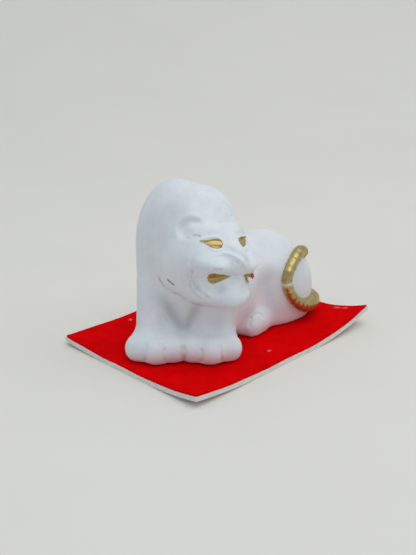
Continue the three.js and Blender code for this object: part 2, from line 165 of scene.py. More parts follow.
@dataclass(frozen=True)
class ClayFrame:
    """A frame that some of the clay is shaped in: forward, left and up.

    A turn is counted from -X towards -Y, and a roll lowers the left side.
    """

    place: Triple = (0.0, 0.0, 0.0)
    turn: float = 180.0
    roll: float = 0.0

    def axes(self) -> Points:
        """Forward, left and up as the columns of a matrix."""
        turn = math.radians(self.turn)
        forward = np.array([-math.cos(turn), -math.sin(turn), 0.0])
        flat = np.column_stack([forward, np.cross([0.0, 0.0, 1.0], forward), [0.0, 0.0, 1.0]])
        return flat @ np.array(Matrix.Rotation(-math.radians(self.roll), 3, "X"))

    def inside(self, points: Points) -> Points:
        """The frame's own coordinates of points of the figure."""
        return (points - np.array(self.place)) @ self.axes()

    def outside(self, points: Points) -> Points:
        """The figure's coordinates of points of the frame."""
        return points @ self.axes().T + np.array(self.place)

    def matrix(self) -> Matrix:
        """The frame as a placement of what is made in it."""
        return Matrix.Translation(self.place) @ Matrix(self.axes().tolist()).to_4x4()


@dataclass(frozen=True)
class Lump:
    """An egg of clay with three half-axes."""

    at: Triple
    size: Triple

    def distance(self, points: Points) -> Values:
        """Distances of points to the lump's skin, below zero inside."""
        offset = (points - np.array(self.at)) / np.array(self.size)
        inner = lengths(offset)
        outer = lengths(offset / np.array(self.size))
        return inner * (inner - 1.0) / np.maximum(outer, TINY)

    def rough(self, clay: bmesh.types.BMesh, place: Matrix) -> None:
        """Adds the lump to a heap of rough clay.

        Args:
            clay: The heap.
            place: The frame that the lump is given in.
        """
        egg = Matrix.Translation(self.at) @ Matrix.Diagonal((*self.size, 1.0))
        bmesh.ops.create_icosphere(clay, subdivisions=3, radius=1.0, matrix=place @ egg)

    def mirrored(self) -> "Lump":
        """The same lump on the other side."""
        return Lump((self.at[0], -self.at[1], self.at[2]), self.size)


@dataclass(frozen=True)
class Limb:
    """A round roll of clay from one point to another, with a radius at each."""

    start: Triple
    end: Triple
    radii: Pair

    def distance(self, points: Points) -> Values:
        """Distances of points to the limb's skin, below zero inside."""
        start = np.array(self.start)
        axis = np.array(self.end) - start
        along = np.clip((points - start) @ axis / (axis @ axis), 0.0, 1.0)
        radius = self.radii[0] + (self.radii[1] - self.radii[0]) * along
        return lengths(points - start - along[:, None] * axis) - radius

    def rough(self, clay: bmesh.types.BMesh, place: Matrix) -> None:
        """Adds the limb to a heap of rough clay, as balls along it.

        Args:
            clay: The heap.
            place: The frame that the limb is given in.
        """
        balls = 6
        for share in np.linspace(0.0, 1.0, balls):
            at = Vector(self.start).lerp(Vector(self.end), share)
            radius = self.radii[0] + (self.radii[1] - self.radii[0]) * share
            ball = place @ Matrix.Translation(at)
            bmesh.ops.create_icosphere(clay, subdivisions=3, radius=radius, matrix=ball)

    def mirrored(self) -> "Limb":
        """The same limb on the other side."""
        start = (self.start[0], -self.start[1], self.start[2])
        end = (self.end[0], -self.end[1], self.end[2])
        return Limb(start, end, self.radii)


def folded(points: Points, crease: float = 1.0) -> Points:
    """Brings the right side to the left, with a rounded crease in the middle."""
    half = points.copy()
    half[:, 1] = np.hypot(points[:, 1], crease)
    return half


@dataclass(frozen=True)
class Forequarters:
    """Nape, chest, forelegs and paws, in the chest frame, left side given."""

    frame: ClayFrame = ClayFrame((-16.8, 0.0, 0.0), 44.6)
    nape: Lump = Lump((-4.0, -2.3, 33.6), (11.0, 13.1, 21.5))
    chest: Lump = Lump((-4.0, 0.0, 20.0), (7.2, 13.4, 17.0))
    shoulder: Limb = Limb((-4.5, 8.6, 34.0), (2.0, 12.5, 22.5), (3.0, 2.5))
    foreleg: Limb = Limb((2.0, 12.5, 22.5), (5.0, 10.7, 8.6), (2.5, 4.7))
    keel: Limb = Limb((-7.0, 0.0, 20.0), (2.2, 0.0, 7.0), (10.6, 2.0))
    paw: Lump = Lump((6.2, 8.9, 3.4), (8.6, 8.8, 5.4))
    toes: tuple[Lump, ...] = (
        Lump((12.4, 3.1, 3.6), (4.0, 3.7, 4.4)),
        Lump((13.8, 8.8, 3.6), (4.0, 3.9, 4.4)),
        Lump((11.2, 14.6, 3.6), (4.0, 4.0, 4.4)),
    )
    web: Lump = Lump((3.0, 0.0, 2.0), (8.5, 4.2, 4.8))
    chest_seam: float = 6.0
    keel_seam: float = 4.0
    leg_seam: float = 3.0
    toe_seam: float = 3.0
    web_seam: float = 2.0
    paw_seam: float = 2.4

    def torso(self, points: Points) -> Values:
        """Distances of points of the figure to the nape, chest and forelegs."""
        local = self.frame.inside(points)
        half = folded(local)
        clay = blend(self.nape.distance(local), self.chest.distance(local), self.chest_seam)
        clay = blend(clay, self.keel.distance(local), self.keel_seam)
        leg = np.minimum(self.shoulder.distance(half), self.foreleg.distance(half))
        return blend(clay, leg, self.leg_seam)

    def distance(self, points: Points) -> Values:
        """Distances of points of the figure to the forequarters."""
        local = self.frame.inside(points)
        half = folded(local)
        paw = self.paw.distance(half)
        for toe in self.toes:
            paw = blend(paw, toe.distance(half), self.toe_seam)
        paw = blend(paw, self.web.distance(local), self.web_seam)
        return blend(self.torso(points), paw, self.paw_seam)

    def lumps(self) -> list[Lump | Limb]:
        """All the clay of the forequarters."""
        paired = [self.shoulder, self.foreleg, self.paw, *self.toes]
        single = [self.nape, self.chest, self.keel, self.web]
        return [*single, *paired, *(lump.mirrored() for lump in paired)]


@dataclass(frozen=True)
class Hindquarters:
    """Loin, haunches and hind feet, in the figure's frame, left side given."""

    frame: ClayFrame = ClayFrame()
    loin: Limb = Limb((-10.0, 0.0, 19.0), (16.0, 0.0, 15.0), (13.5, 14.0))
    belly: Lump = Lump((2.0, 0.0, 9.0), (24.0, 11.0, 12.0))
    haunch: Lump = Lump((20.0, 0.0, 11.9), (19.2, 14.0, 17.0))
    thigh: Lump = Lump((22.8, -9.2, 9.4), (12.2, 6.8, 15.4))
    flank: Lump = Lump((8.0, -16.8, 14.5), (5.6, 5.4, 9.5))
    foot: Limb = Limb((27.0, -11.5, 2.6), (7.0, -8.9, 3.4), (3.4, 3.9))
    paw: Lump = Lump((6.3, -9.5, 3.4), (6.3, 4.9, 5.4))
    toe: Lump = Lump((2.4, -9.2, 2.8), (3.0, 2.1, 3.4))
    toe_pitch: float = 2.9
    toe_setback: float = 1.1
    haunch_seam: float = 6.0
    belly_seam: float = 4.0
    flank_lip: float = 4.0
    thigh_seam: float = 2.5
    paw_seam: float = 2.0
    toe_seam: float = 1.4
    foot_seam: float = 2.0

    def toes(self) -> list[Lump]:
        """Three toes side by side, the outer two set back."""
        x, y, z = self.toe.at
        return [
            Lump((x + abs(place) * self.toe_setback, y + place * self.toe_pitch, z), self.toe.size)
            for place in (-1, 0, 1)
        ]

    def distance(self, points: Points) -> Values:
        """Distances of points of the figure to the hindquarters."""
        half = points.copy()
        half[:, 1] = -np.abs(points[:, 1])
        clay = blend(self.loin.distance(points), self.haunch.distance(points), self.haunch_seam)
        clay = blend(clay, self.belly.distance(points), self.belly_seam)
        clay = carve(clay, self.flank.distance(half), self.flank_lip)
        clay = blend(clay, self.thigh.distance(half), self.thigh_seam)
        foot = blend(self.foot.distance(half), self.paw.distance(half), self.paw_seam)
        for toe in self.toes():
            foot = blend(foot, toe.distance(half), self.toe_seam)
        return blend(clay, foot, self.foot_seam)

    def lumps(self) -> list[Lump | Limb]:
        """All the clay of the hindquarters."""
        paired = [self.thigh, self.foot, self.paw, *self.toes()]
        single = [self.loin, self.belly, self.haunch]
        return [*single, *paired, *(lump.mirrored() for lump in paired)]


@dataclass(frozen=True)
class HeadMass:
    """Skull, muzzle, jaw, whisker pads, nose and brows, in the head frame."""

    frame: ClayFrame = ClayFrame((-11.6, -2.5, 33.5), 84.6, 12.0)
    skull: Lump = Lump((-1.5, -0.7, -0.3), (12.8, 14.5, 19.7))
    jaw_rim: float = -15.8
    forehead: Triple = (0.753, 0.0, 0.659)
    forehead_reach: float = 14.0
    temple: Lump = Lump((5.6, 5.6, 0.4), (7.4, 6.6, 6.0))
    muzzle: Lump = Lump((5.6, 0.6, -5.4), (11.2, 10.6, 11.0))
    jaw: Lump = Lump((10.2, 1.6, -12.2), (9.2, 9.0, 6.6))
    chin_rim: float = -15.8
    chin_rise: float = 0.14
    pad: Lump = Lump((10.4, 5.5, -1.7), (8.8, 6.4, 3.6))
    bridge: Limb = Limb((8.6, 0.0, 4.2), (16.6, 0.0, 0.8), (3.2, 3.2))
    nose: Lump = Lump((17.4, 0.0, 0.6), (2.2, 3.4, 1.8))
    lip: Lump = Lump((12.0, 0.0, -1.8), (6.8, 5.4, 3.2))
    brow: Limb = Limb((6.0, 10.0, 7.2), (9.8, 4.0, 7.2), (0.9, 0.7))
    rim_lip: float = 4.0
    forehead_lip: float = 3.0
    temple_seam: float = 6.0
    muzzle_seam: float = 5.0
    chin_lip: float = 2.0
    jaw_seam: float = 4.0
    pad_seam: float = 3.0
    bridge_seam: float = 3.5
    lip_seam: float = 2.5
    nose_seam: float = 1.2
    brow_seam: float = 3.0

    def distance(self, points: Points) -> Values:
        """Distances of points of the figure to the head."""
        local = self.frame.inside(points)
        half = folded(local)
        front = self.forehead_reach - local @ np.array(self.forehead)
        clay = carve(self.skull.distance(local), local[:, 2] - self.jaw_rim, self.rim_lip)
        clay = carve(clay, front, self.forehead_lip)
        clay = blend(clay, self.temple.distance(half), self.temple_seam)
        clay = blend(clay, self.muzzle.distance(local), self.muzzle_seam)
        rim = self.chin_rim + self.chin_rise * half[:, 1]
        jaw = carve(self.jaw.distance(local), local[:, 2] - rim, self.chin_lip)
        clay = blend(clay, jaw, self.jaw_seam)
        clay = blend(clay, self.pad.distance(half), self.pad_seam)
        clay = blend(clay, self.bridge.distance(local), self.bridge_seam)
        clay = blend(clay, self.lip.distance(local), self.lip_seam)
        clay = blend(clay, self.nose.distance(local), self.nose_seam)
        return blend(clay, self.brow.distance(half), self.brow_seam)

    def lumps(self) -> list[Lump | Limb]:
        """All the clay of the head."""
        paired = [self.pad, self.brow, self.temple]
        single = [self.skull, self.muzzle, self.jaw, self.bridge, self.nose, self.lip]
        return [*single, *paired, *(lump.mirrored() for lump in paired)]


def seat(surface: Field, frame: ClayFrame, places: Sequence[Pair]) -> Points:
    """Finds points of some clay, met from the front of its frame.

    Args:
        surface: Distances to the clay.
        frame: The frame that the places are given in.
        places: Left and up of each point.

    Returns:
        The points, in the figure's frame.
    """
    far, enough, most_steps = 50.0, 0.002, 150
    start = np.column_stack([np.full(len(places), far), np.array(places)])
    points = frame.outside(start)
    inward = -frame.axes()[:, 0]
    for _ in range(most_steps):
        step = np.maximum(surface(points) * SAFE_SHARE, 0.0)
        points = points + inward * step[:, None]
        if step.max() < enough:
            break
    return points


def slope(surface: Field, points: Points, here: Values) -> Points:
    """How a field rises from points, along each axis.

    Args:
        surface: The field.
        points: Where it is measured.
        here: The field's values at the points.

    Returns:
        One row of three rises for each point.
    """
    step = 0.02
    return np.column_stack([(surface(points + step * axis) - here) / step for axis in np.eye(3)])


def draw_onto(surface: Field, points: Points, passes: int) -> Points:
    """Moves points straight onto the skin of some clay.

    Args:
        surface: Distances to the clay.
        points: Points near the skin.
        passes: How many times each point is corrected.

    Returns:
        The moved points.
    """
    most, least_rise = 0.7, 0.3
    for _ in range(passes):
        here = surface(points)
        rise = slope(surface, points, here)
        steepness = np.maximum(np.einsum("ij,ij->i", rise, rise), least_rise)
        step = np.clip(here / steepness, -most, most)
        points = points - rise * step[:, None]
    return points


@dataclass(frozen=True)
class Stroke:
    """A fold raised along a line on the clay, or a groove if its height is below zero.

    The line's points are left and up in the frame of the mass that it is on.
    """

    line: tuple[Pair, ...]
    width: float
    height: float
    paired: bool = True

    def lines(self, surface: Field, frame: ClayFrame) -> list["DrawnLine"]:
        """The stroke's line on the clay, on one side or both.

        Args:
            surface: Distances to the clay.
            frame: The frame that the line is given in.

        Returns:
            Each line, in the figure's frame.
        """
        flat = smooth_line(np.array(self.line), steps=6)
        sides = [flat, flat * np.array([-1.0, 1.0])] if self.paired else [flat]
        drawn = []
        for side in sides:
            points = seat(surface, frame, side.tolist())
            normals = slope(surface, points, surface(points))
            drawn.append(DrawnLine(self, points, normals / lengths(normals)[:, None]))
        return drawn


@dataclass(frozen=True)
class DrawnLine:
    """A stroke's line on the clay, with the clay's normals along it.

    It reaches a few widths to each side, and fades over a share of its length at its ends.
    """

    stroke: Stroke
    points: Points
    normals: Points
    reach_widths: float = 3.0
    reach_more: float = 1.0
    skin_depth: float = 1.5
    end_rise: float = 5.0

    def relief(self, places: Points) -> Values:
        """How far the stroke raises places of the clay.

        Args:
            places: Points on or near the clay.

        Returns:
            Heights, below zero in a groove.
        """
        raised = np.zeros(len(places))
        reach = self.reach_widths * self.stroke.width + self.reach_more
        low, high = self.points.min(0) - reach, self.points.max(0) + reach
        close = np.all((places > low) & (places < high), axis=1)
        near = places[close]
        best = np.full(len(near), np.inf)
        share = np.zeros(len(near))
        pieces = zip(self.points, self.points[1:], self.normals)
        for index, (start, end, normal) in enumerate(pieces):
            axis = end - start
            along = np.clip((near - start) @ axis / max(axis @ axis, TINY), 0.0, 1.0)
            offset = near - start - along[:, None] * axis
            height = np.clip(offset @ normal, -self.skin_depth, self.skin_depth)
            away = lengths(offset - height[:, None] * normal)
            share = np.where(away < best, (index + along) / (len(self.points) - 1), share)
            best = np.minimum(best, away)
        ends = smoothstep(np.minimum(share, 1.0 - share) * self.end_rise)
        raised[close] = self.stroke.height * np.exp(-((best / self.stroke.width) ** 2)) * ends
        return raised


@dataclass(frozen=True, kw_only=True)
class FacePlace:
    """A place on the tiger's left side, repeated on its right.

    The left one is shifted outwards and up, and slanted more, as the hand-made face has it.
    """

    left: float
    up: float
    slant: float
    left_shift: float = 0.0
    left_lift: float = 0.0
    left_tilt: float = 0.0


@dataclass(frozen=True, kw_only=True)
class Opening(FacePlace):
    """An opening in the face that holds gold: an eye, or a corner of the mouth.

    Its edges are shares of its length, from the nose outwards, and of its height.
    """

    length: float
    height: float
    depth: float
    upper: tuple[Pair, ...]
    lower: tuple[Pair, ...]
    gilt: float
    swell: float = 0.0
    swell_at: float = 0.0
    lip: float = 0.45
    lip_start: float = 0.15
    gilt_share: float = 0.4
    least_gap: float = 0.4

    def edges(self, along: Values) -> tuple[Values, Values]:
        """The lower and upper edge at places along the opening, in millimetres."""
        found = []
        for edge in (self.lower, self.upper):
            corners = smooth_line(np.array(edge), steps=8) * np.array([self.length, self.height])
            found.append(np.interp(along, corners[:, 0], corners[:, 1]))
        return found[0], found[1]

    def ends(self) -> Pair:
        """Where the opening starts and stops along its length, in millimetres."""
        return self.upper[0][0] * self.length, self.upper[-1][0] * self.length

    def cut(self, flat: Points) -> Values:
        """How deep the opening is at places around it.

        Args:
            flat: Outward, upright and height of each place.

        Returns:
            Depths in millimetres.
        """
        lower, upper = self.edges(flat[:, 0])
        start, stop = self.ends()
        inside = np.minimum(flat[:, 1] - lower, upper - flat[:, 1])
        inside = np.minimum(np.minimum(inside, stop - flat[:, 0]), flat[:, 0] - start)
        return self.depth * smoothstep(inside / self.lip + self.lip_start)

    def gold_level(self, flat: Points, film: float) -> Values:
        """How deep the top of the gold lies at places in the opening.

        Args:
            flat: Outward, upright and height of each place.
            film: The least thickness of the gold.

        Returns:
            Depths in millimetres, less on the swell of an eyeball.
        """
        lower, upper = self.edges(flat[:, 0])
        along = flat[:, 0] / (0.5 * self.length) - self.swell_at
        across = (2.0 * flat[:, 1] - lower - upper) / np.maximum(upper - lower, self.least_gap)
        ball = np.clip(1.0 - along**2, 0.0, 1.0) * np.clip(1.0 - across**2, 0.0, 1.0)
        deepest = self.gilt_share * self.cut(flat) - film
        return np.minimum(self.gilt - self.swell * ball, deepest)


@dataclass(frozen=True, kw_only=True)
class EarDish(FacePlace):
    """A cupped ear: deep under its outer rim, and level with the face in front.

    Its bowl and rim are placed in shares of its half size, each fade as its start and its width.
    """

    length: float
    height: float
    depth: float
    rim: float
    rim_turn: float
    bowl_edge: Pair = (0.65, 0.5)
    bowl_fade: Pair = (-0.7, 1.6)
    rim_at: float = 1.16
    rim_width: float = 0.2
    rim_from: float = -0.3

    def cut(self, flat: Points) -> Values:
        """How deep the ear is at places around it, below zero on its rim.

        Args:
            flat: Outward, upright and height of each place.

        Returns:
            Depths in millimetres.
        """
        shares = flat[:, :2] / np.array([self.length / 2.0, self.height / 2.0])
        turn = math.radians(self.rim_turn)
        toward = shares @ np.array([math.cos(turn), math.sin(turn)])
        away = lengths(shares)
        cupped = 1.0 - smoothstep((away - self.bowl_edge[0]) / self.bowl_edge[1])
        bowl = cupped * smoothstep((toward - self.bowl_fade[0]) / self.bowl_fade[1])
        facing = smoothstep(toward / np.maximum(away, 0.01) - self.rim_from)
        rim = np.exp(-(((away - self.rim_at) / self.rim_width) ** 2)) * facing
        return self.depth * bowl - self.rim * rim


@dataclass(frozen=True)
class Patch:
    """A flat place on the face, with its own outward, upright and normal."""

    origin: Points
    axes: Points

    def flat(self, points: Points) -> Points:
        """Outward, upright and height of points."""
        return (points - self.origin) @ self.axes

    def place(self, flat: Points) -> Points:
        """Points from their outward, upright and height."""
        return flat @ self.axes.T + self.origin


@dataclass(frozen=True)
class TailRoll:
    """The gilded roll of clay curled on the left haunch, as turns about it."""

    axis_x: float = 22.0
    middle_turn: float = -72.0
    middle_up: float = 14.8
    curl_turn: float = 38.0
    curl_up: float = 10.0
    tip_up: float = 8.6
    lean: float = 10.0
    tip_angle: float = 62.0
    foot_angle: float = 270.0
    root_turn: float = -6.0
    start_out: float = 45.0
    radii: tuple[Pair, ...] = ((0.0, 2.15), (0.45, 1.9), (0.72, 2.8), (1.0, 2.6))
    proud: float = 0.6
    ridge_pitch: float = 2.3
    ridge_height: float = 0.07
    cuts: tuple[float, ...] = (0.17, 0.335, 0.4)
    sides: int = 20

    def path(self, haunch: Field) -> tuple[Points, Points]:
        """The roll's centre line from tip to root, and the haunch's normals under it.

        Args:
            haunch: Distances to the hindquarters.

        Returns:
            Points along the line, and a normal at each.
        """
        places = []
        curl_points, root_points, most_steps = 13, 5, 60
        for angle in np.radians(np.linspace(self.tip_angle, self.foot_angle, curl_points)):
            across, up = math.cos(angle), math.sin(angle)
            lean = self.lean * up * (across**2 if up > 0.0 else 1.0)
            reach = self.tip_up if up > 0.0 else self.curl_up
            turn = self.middle_turn + self.curl_turn * across - lean
            places.append((turn, self.middle_up + reach * up))
        for turn in np.linspace(self.middle_turn + self.lean, self.root_turn, root_points)[1:]:
            places.append((turn, self.middle_up - self.curl_up))
        turns = np.radians([turn for turn, _ in places])
        away = np.column_stack([np.cos(turns), np.sin(turns), np.zeros(len(turns))])
        points = away * self.start_out + np.array([[self.axis_x, 0.0, up] for _, up in places])
        for _ in range(most_steps):
            points = points - away * np.maximum(haunch(points) * SAFE_SHARE, 0.0)[:, None]
        normals = slope(haunch, points, haunch(points))
        normals /= lengths(normals)[:, None]
        centres = smooth_line(points + normals * self.proud, steps=8)
        bent = smooth_line(normals, steps=8)
        return centres, bent / lengths(bent)[:, None]

    def radius(self, share: Values) -> Values:
        """The hand-rolled radius at shares of the length."""
        plain = smooth_line(np.array(self.radii), steps=12)
        return np.interp(share, plain[:, 0], plain[:, 1])


@dataclass(frozen=True)
class TigerClay:
    """The whole figure's clay, from its masses to the marks of the modelling tool."""

    fore: Forequarters = Forequarters()
    hind: Hindquarters = Hindquarters()
    head: HeadMass = HeadMass()
    tail: TailRoll = TailRoll()
    waist_seam: float = 7.0
    neck_front: Triple = (12.0, 0.0, 16.5)
    neck_slope: float = 32.0
    jaw_seam: float = 1.0
    crown_seam: float = 2.0
    crown_from: float = 7.0
    crown_rise: float = 8.0
    ear: EarDish = EarDish(
        left=11.4, up=7.4, slant=0.0, length=9.2, height=8.2, depth=1.1, rim=0.1, rim_turn=38.0
    )
    eye: Opening = Opening(
        left=6.2, up=4.6, slant=4.0, left_shift=-0.6, left_lift=0.4, left_tilt=8.0,
        length=7.0, height=2.8, depth=0.8, gilt=0.3, swell=0.36, swell_at=-0.25,
        upper=(
            (-0.38, 0.05), (-0.33, 0.39), (-0.15, 0.46), (0.08, 0.36),
            (0.31, 0.17), (0.5, 0.1), (0.62, 0.1),
        ),
        lower=(
            (-0.38, -0.02), (-0.32, -0.42), (-0.15, -0.55), (0.11, -0.54),
            (0.33, -0.27), (0.5, -0.05), (0.62, 0.05),
        ),
    )
    mouth: Opening = Opening(
        left=5.2, up=-5.4, slant=-10.0, left_shift=2.0, length=7.2, height=3.4, depth=0.9, gilt=0.4,
        upper=((-0.52, 0.0), (-0.05, 0.52), (0.28, 0.7), (0.4, 0.38), (0.45, -0.14)),
        lower=((-0.52, -0.02), (-0.12, -0.26), (0.23, -0.53), (0.39, -0.47), (0.45, -0.22)),
    )
    face_strokes: tuple[Stroke, ...] = (
        Stroke(
            ((12.9, -1.6), (12.1, -4.2), (11.2, -6.4), (9.9, -9.2), (8.5, -11.6), (6.9, -13.0)),
            width=0.55, height=0.85,
        ),
        Stroke(
            ((10.9, -3.2), (10.2, -5.4), (9.1, -7.9), (8.1, -9.7), (6.9, -11.2), (5.6, -12.2)),
            width=0.5, height=0.65,
        ),
        Stroke(
            ((11.8, -3.4), (11.2, -5.4), (10.2, -7.8), (9.0, -9.9), (7.6, -11.6)),
            width=0.5, height=-0.5,
        ),
        Stroke(
            ((3.6, 5.7), (4.9, 6.15), (6.4, 6.2), (8.0, 5.75), (10.0, 5.1)),
            width=0.5, height=0.3,
        ),
        Stroke(((4.0, 3.2), (5.7, 2.8), (7.3, 2.9), (8.7, 3.5)), width=0.5, height=0.16),
        Stroke(((11.4, 5.8), (10.6, 6.0), (9.6, 6.1)), width=0.3, height=-0.28),
        Stroke(((8.0, 2.4), (6.9, 1.9), (4.4, 2.3), (3.0, 2.9)), width=0.5, height=-0.14),
        Stroke(((7.2, 8.6), (2.3, 8.9), (-3.9, 8.4)), width=0.4, height=-0.08, paired=False),
        Stroke(((5.9, 9.8), (1.1, 10.1), (-4.5, 9.6)), width=0.4, height=-0.07, paired=False),
        Stroke(
            ((-9.4, 0.8), (-5.2, 2.0), (-2.9, 2.1), (-0.6, 0.7), (1.6, -1.1), (2.4, -2.2)),
            width=0.6, height=0.42, paired=False,
        ),
        Stroke(
            ((-3.4, 3.9), (-2.2, 3.4), (-0.6, 2.8), (1.6, 1.2), (3.2, -0.4)),
            width=0.9, height=-0.5, paired=False,
        ),
        Stroke(((9.4, -2.4), (8.4, -1.9), (6.6, -2.0)), width=0.3, height=-0.2),
        Stroke(((0.0, -0.9), (0.0, -2.2), (0.0, -3.6)), width=0.4, height=-0.25, paired=False),
        Stroke(((2.6, -4.3), (0.0, -4.4), (-2.6, -4.3)), width=0.35, height=-0.3, paired=False),
        Stroke(((1.7, -5.1), (4.2, -6.8), (6.2, -8.2), (7.5, -8.1)), width=0.6, height=0.22),
        Stroke(((2.6, 0.7), (1.9, 0.2), (1.5, -0.4)), width=0.4, height=-0.25),
        Stroke(
            ((10.2, -4.7), (9.0, -4.8), (7.4, -4.6), (5.6, -4.3)),
            width=0.9, height=1.3, paired=False,
        ),
    )
    paw_strokes: tuple[Stroke, ...] = (
        Stroke(((5.8, 0.4), (5.8, 3.8), (5.7, 6.6)), width=0.6, height=-0.4),
        Stroke(((11.9, 0.4), (11.9, 4.2), (11.5, 7.6)), width=0.6, height=-0.4),
        Stroke(((0.0, 0.3), (0.0, 3.6), (0.0, 6.8)), width=0.7, height=-0.9, paired=False),
    )
    toe_strokes: tuple[Stroke, ...] = (
        Stroke(
            ((22.56, 7.48), (22.05, 6.35), (21.58, 5.18), (21.32, 3.74)),
            width=0.6, height=-0.35, paired=False,
        ),
        Stroke(
            ((22.9, 6.7), (23.3, 7.45), (24.2, 7.7), (25.2, 7.35), (26.0, 6.6), (26.9, 5.25)),
            width=0.5, height=-0.25, paired=False,
        ),
    )
    ruff_strokes: tuple[Stroke, ...] = (
        Stroke(
            (
                (-2.0, 41.7), (-4.2, 39.3), (-6.0, 36.4), (-6.9, 33.6),
                (-7.1, 30.6), (-6.5, 27.5), (-5.4, 24.5),
            ),
            width=0.8, height=-0.4, paired=False,
        ),
    )
    dimple: Triple = (4.5, -9.3, 1.3)
    dimple_depth: float = 1.6
    base_round: float = 1.0

    def trunk(self, points: Points) -> Values:
        """Distances to the body without its head."""
        return blend(self.fore.distance(points), self.hind.distance(points), self.waist_seam)

    def masses(self, points: Points) -> Values:
        """Distances to the joined masses, before any detail."""
        up = self.head.frame.inside(points)[:, 2]
        crown = smoothstep((up - self.crown_from) / self.crown_rise)
        seam = self.jaw_seam + self.crown_seam * crown
        return blend(self.trunk(points), self.head.distance(points), seam)

    def neck_plane(self) -> tuple[Points, Points]:
        """A point of the neck joint and its normal towards the head."""
        lean = math.radians(self.neck_slope)
        normal = self.fore.frame.axes() @ np.array([math.sin(lean), 0.0, math.cos(lean)])
        return self.fore.frame.outside(np.array([self.neck_front]))[0], normal

    def patch(self, place: FacePlace, side: Side) -> Patch:
        """The flat place on the face where something is cut.

        Args:
            place: Where it is cut.
            side: The tiger's side that it is on.

        Returns:
            The place, with outward away from the nose.
        """
        left = place.left + place.left_shift if side is Side.LEFT else -place.left
        up = place.up + place.left_lift if side is Side.LEFT else place.up
        origin = seat(self.head.distance, self.head.frame, [(left, up)])
        normal = slope(self.head.distance, origin, self.head.distance(origin))[0]
        normal /= np.linalg.norm(normal)
        upright = self.head.frame.axes()[:, 2]
        upright = upright - normal * (upright @ normal)
        upright /= np.linalg.norm(upright)
        outward = side.value * np.cross(upright, normal)
        slant = math.radians(place.slant + place.left_tilt if side is Side.LEFT else place.slant)
        turned = outward * math.cos(slant) + upright * math.sin(slant)
        raised = upright * math.cos(slant) - outward * math.sin(slant)
        return Patch(origin[0], np.column_stack([turned, raised, normal]))


class ClayDetail:
    """The tiger's clay with its openings cut and its strokes drawn."""

    def __init__(self, clay: TigerClay) -> None:
        """Seats every detail on the masses of clay.

        Args:
            clay: The masses and the details to draw on them.
        """
        self.clay = clay
        places = (clay.eye, clay.mouth, clay.ear)
        self.cuts = [(place, clay.patch(place, side)) for place in places for side in Side]
        groups = (
            (clay.face_strokes, clay.head.distance, clay.head.frame),
            (clay.paw_strokes, clay.fore.distance, clay.fore.frame),
            (clay.toe_strokes, clay.hind.distance, clay.fore.frame),
            (clay.ruff_strokes, clay.masses, clay.fore.frame),
        )
        self.strokes = [
            line
            for strokes, surface, frame in groups
            for stroke in strokes
            for line in stroke.lines(surface, frame)
        ]
        left, up, _ = clay.dimple
        self.dimples = seat(clay.head.distance, clay.head.frame, [(left, up), (-left, up)])
        self.tail_line, self.tail_normals = clay.tail.path(clay.hind.distance)

    def recess(self, place: Opening | EarDish, patch: Patch, points: Points) -> Values:
        """How deep an opening or an ear is cut at points of the clay.

        Args:
            place: The opening or ear.
            patch: Its place on the face.
            points: Points on or near the clay.

        Returns:
            Depths in millimetres.
        """
        depth = np.zeros(len(points))
        close = lengths(points - patch.origin) < place.length
        depth[close] = place.cut(patch.flat(points[close]))
        return depth

    def modelled(self, points: Points) -> Values:
        """Distances of points to the clay with its strokes drawn, before anything is cut."""
        clay = self.clay.masses(points)
        for line in self.strokes:
            clay = clay - line.relief(points)
        for middle in self.dimples:
            away = lengths(points - middle) / self.clay.dimple[2]
            clay = clay + self.clay.dimple_depth * np.exp(-(away**2))
        return clay

    def distance(self, points: Points) -> Values:
        """Distances of points to the finished clay."""
        clay = self.modelled(points)
        for place, patch in self.cuts:
            clay = clay + self.recess(place, patch, points)
        return carve(clay, points[:, 2], self.clay.base_round)


# Making pieces


def points_of(shape: bmesh.types.BMesh) -> Points:
    """A shape's points as rows."""
    return np.array([vert.co for vert in shape.verts])


def move_to(shape: bmesh.types.BMesh, points: Points) -> None:
    """Moves a shape's points to new places, given in their order."""
    for vert, place in zip(shape.verts, points):
        vert.co = place


def verts_of(items: Sequence[bmesh.types.BMVert | bmesh.types.BMEdge]) -> list[bmesh.types.BMVert]:
    """The points among what an operator made."""
    return [item for item in items if isinstance(item, bmesh.types.BMVert)]


def edges_of(items: Sequence[bmesh.types.BMVert | bmesh.types.BMEdge]) -> list[bmesh.types.BMEdge]:
    """The edges among what an operator made."""
    return [item for item in items if isinstance(item, bmesh.types.BMEdge)]


def far_edges(items: Sequence[bmesh.types.BMVert | bmesh.types.BMEdge]) -> list[bmesh.types.BMEdge]:
    """The far edges of what an extrusion made, without those that lead to them."""
    ends = verts_of(items)
    return [edge for edge in edges_of(items) if all(vert in ends for vert in edge.verts)]


def slice_off(
    shape: bmesh.types.BMesh, at: Sequence[float], normal: Sequence[float], keep_front: bool
) -> None:
    """Cuts a shape at a plane, removes one side and closes the cut.

    Args:
        shape: The shape.
        at: A point of the plane.
        normal: The plane's normal.
        keep_front: Whether the side that the normal points to is kept.
    """
    cut = bmesh.ops.bisect_plane(
        shape,
        geom=shape.verts[:] + shape.edges[:] + shape.faces[:],
        plane_co=at,
        plane_no=normal,
        clear_inner=keep_front,
        clear_outer=not keep_front,
    )
    bmesh.ops.holes_fill(shape, edges=edges_of(cut["geom_cut"]))


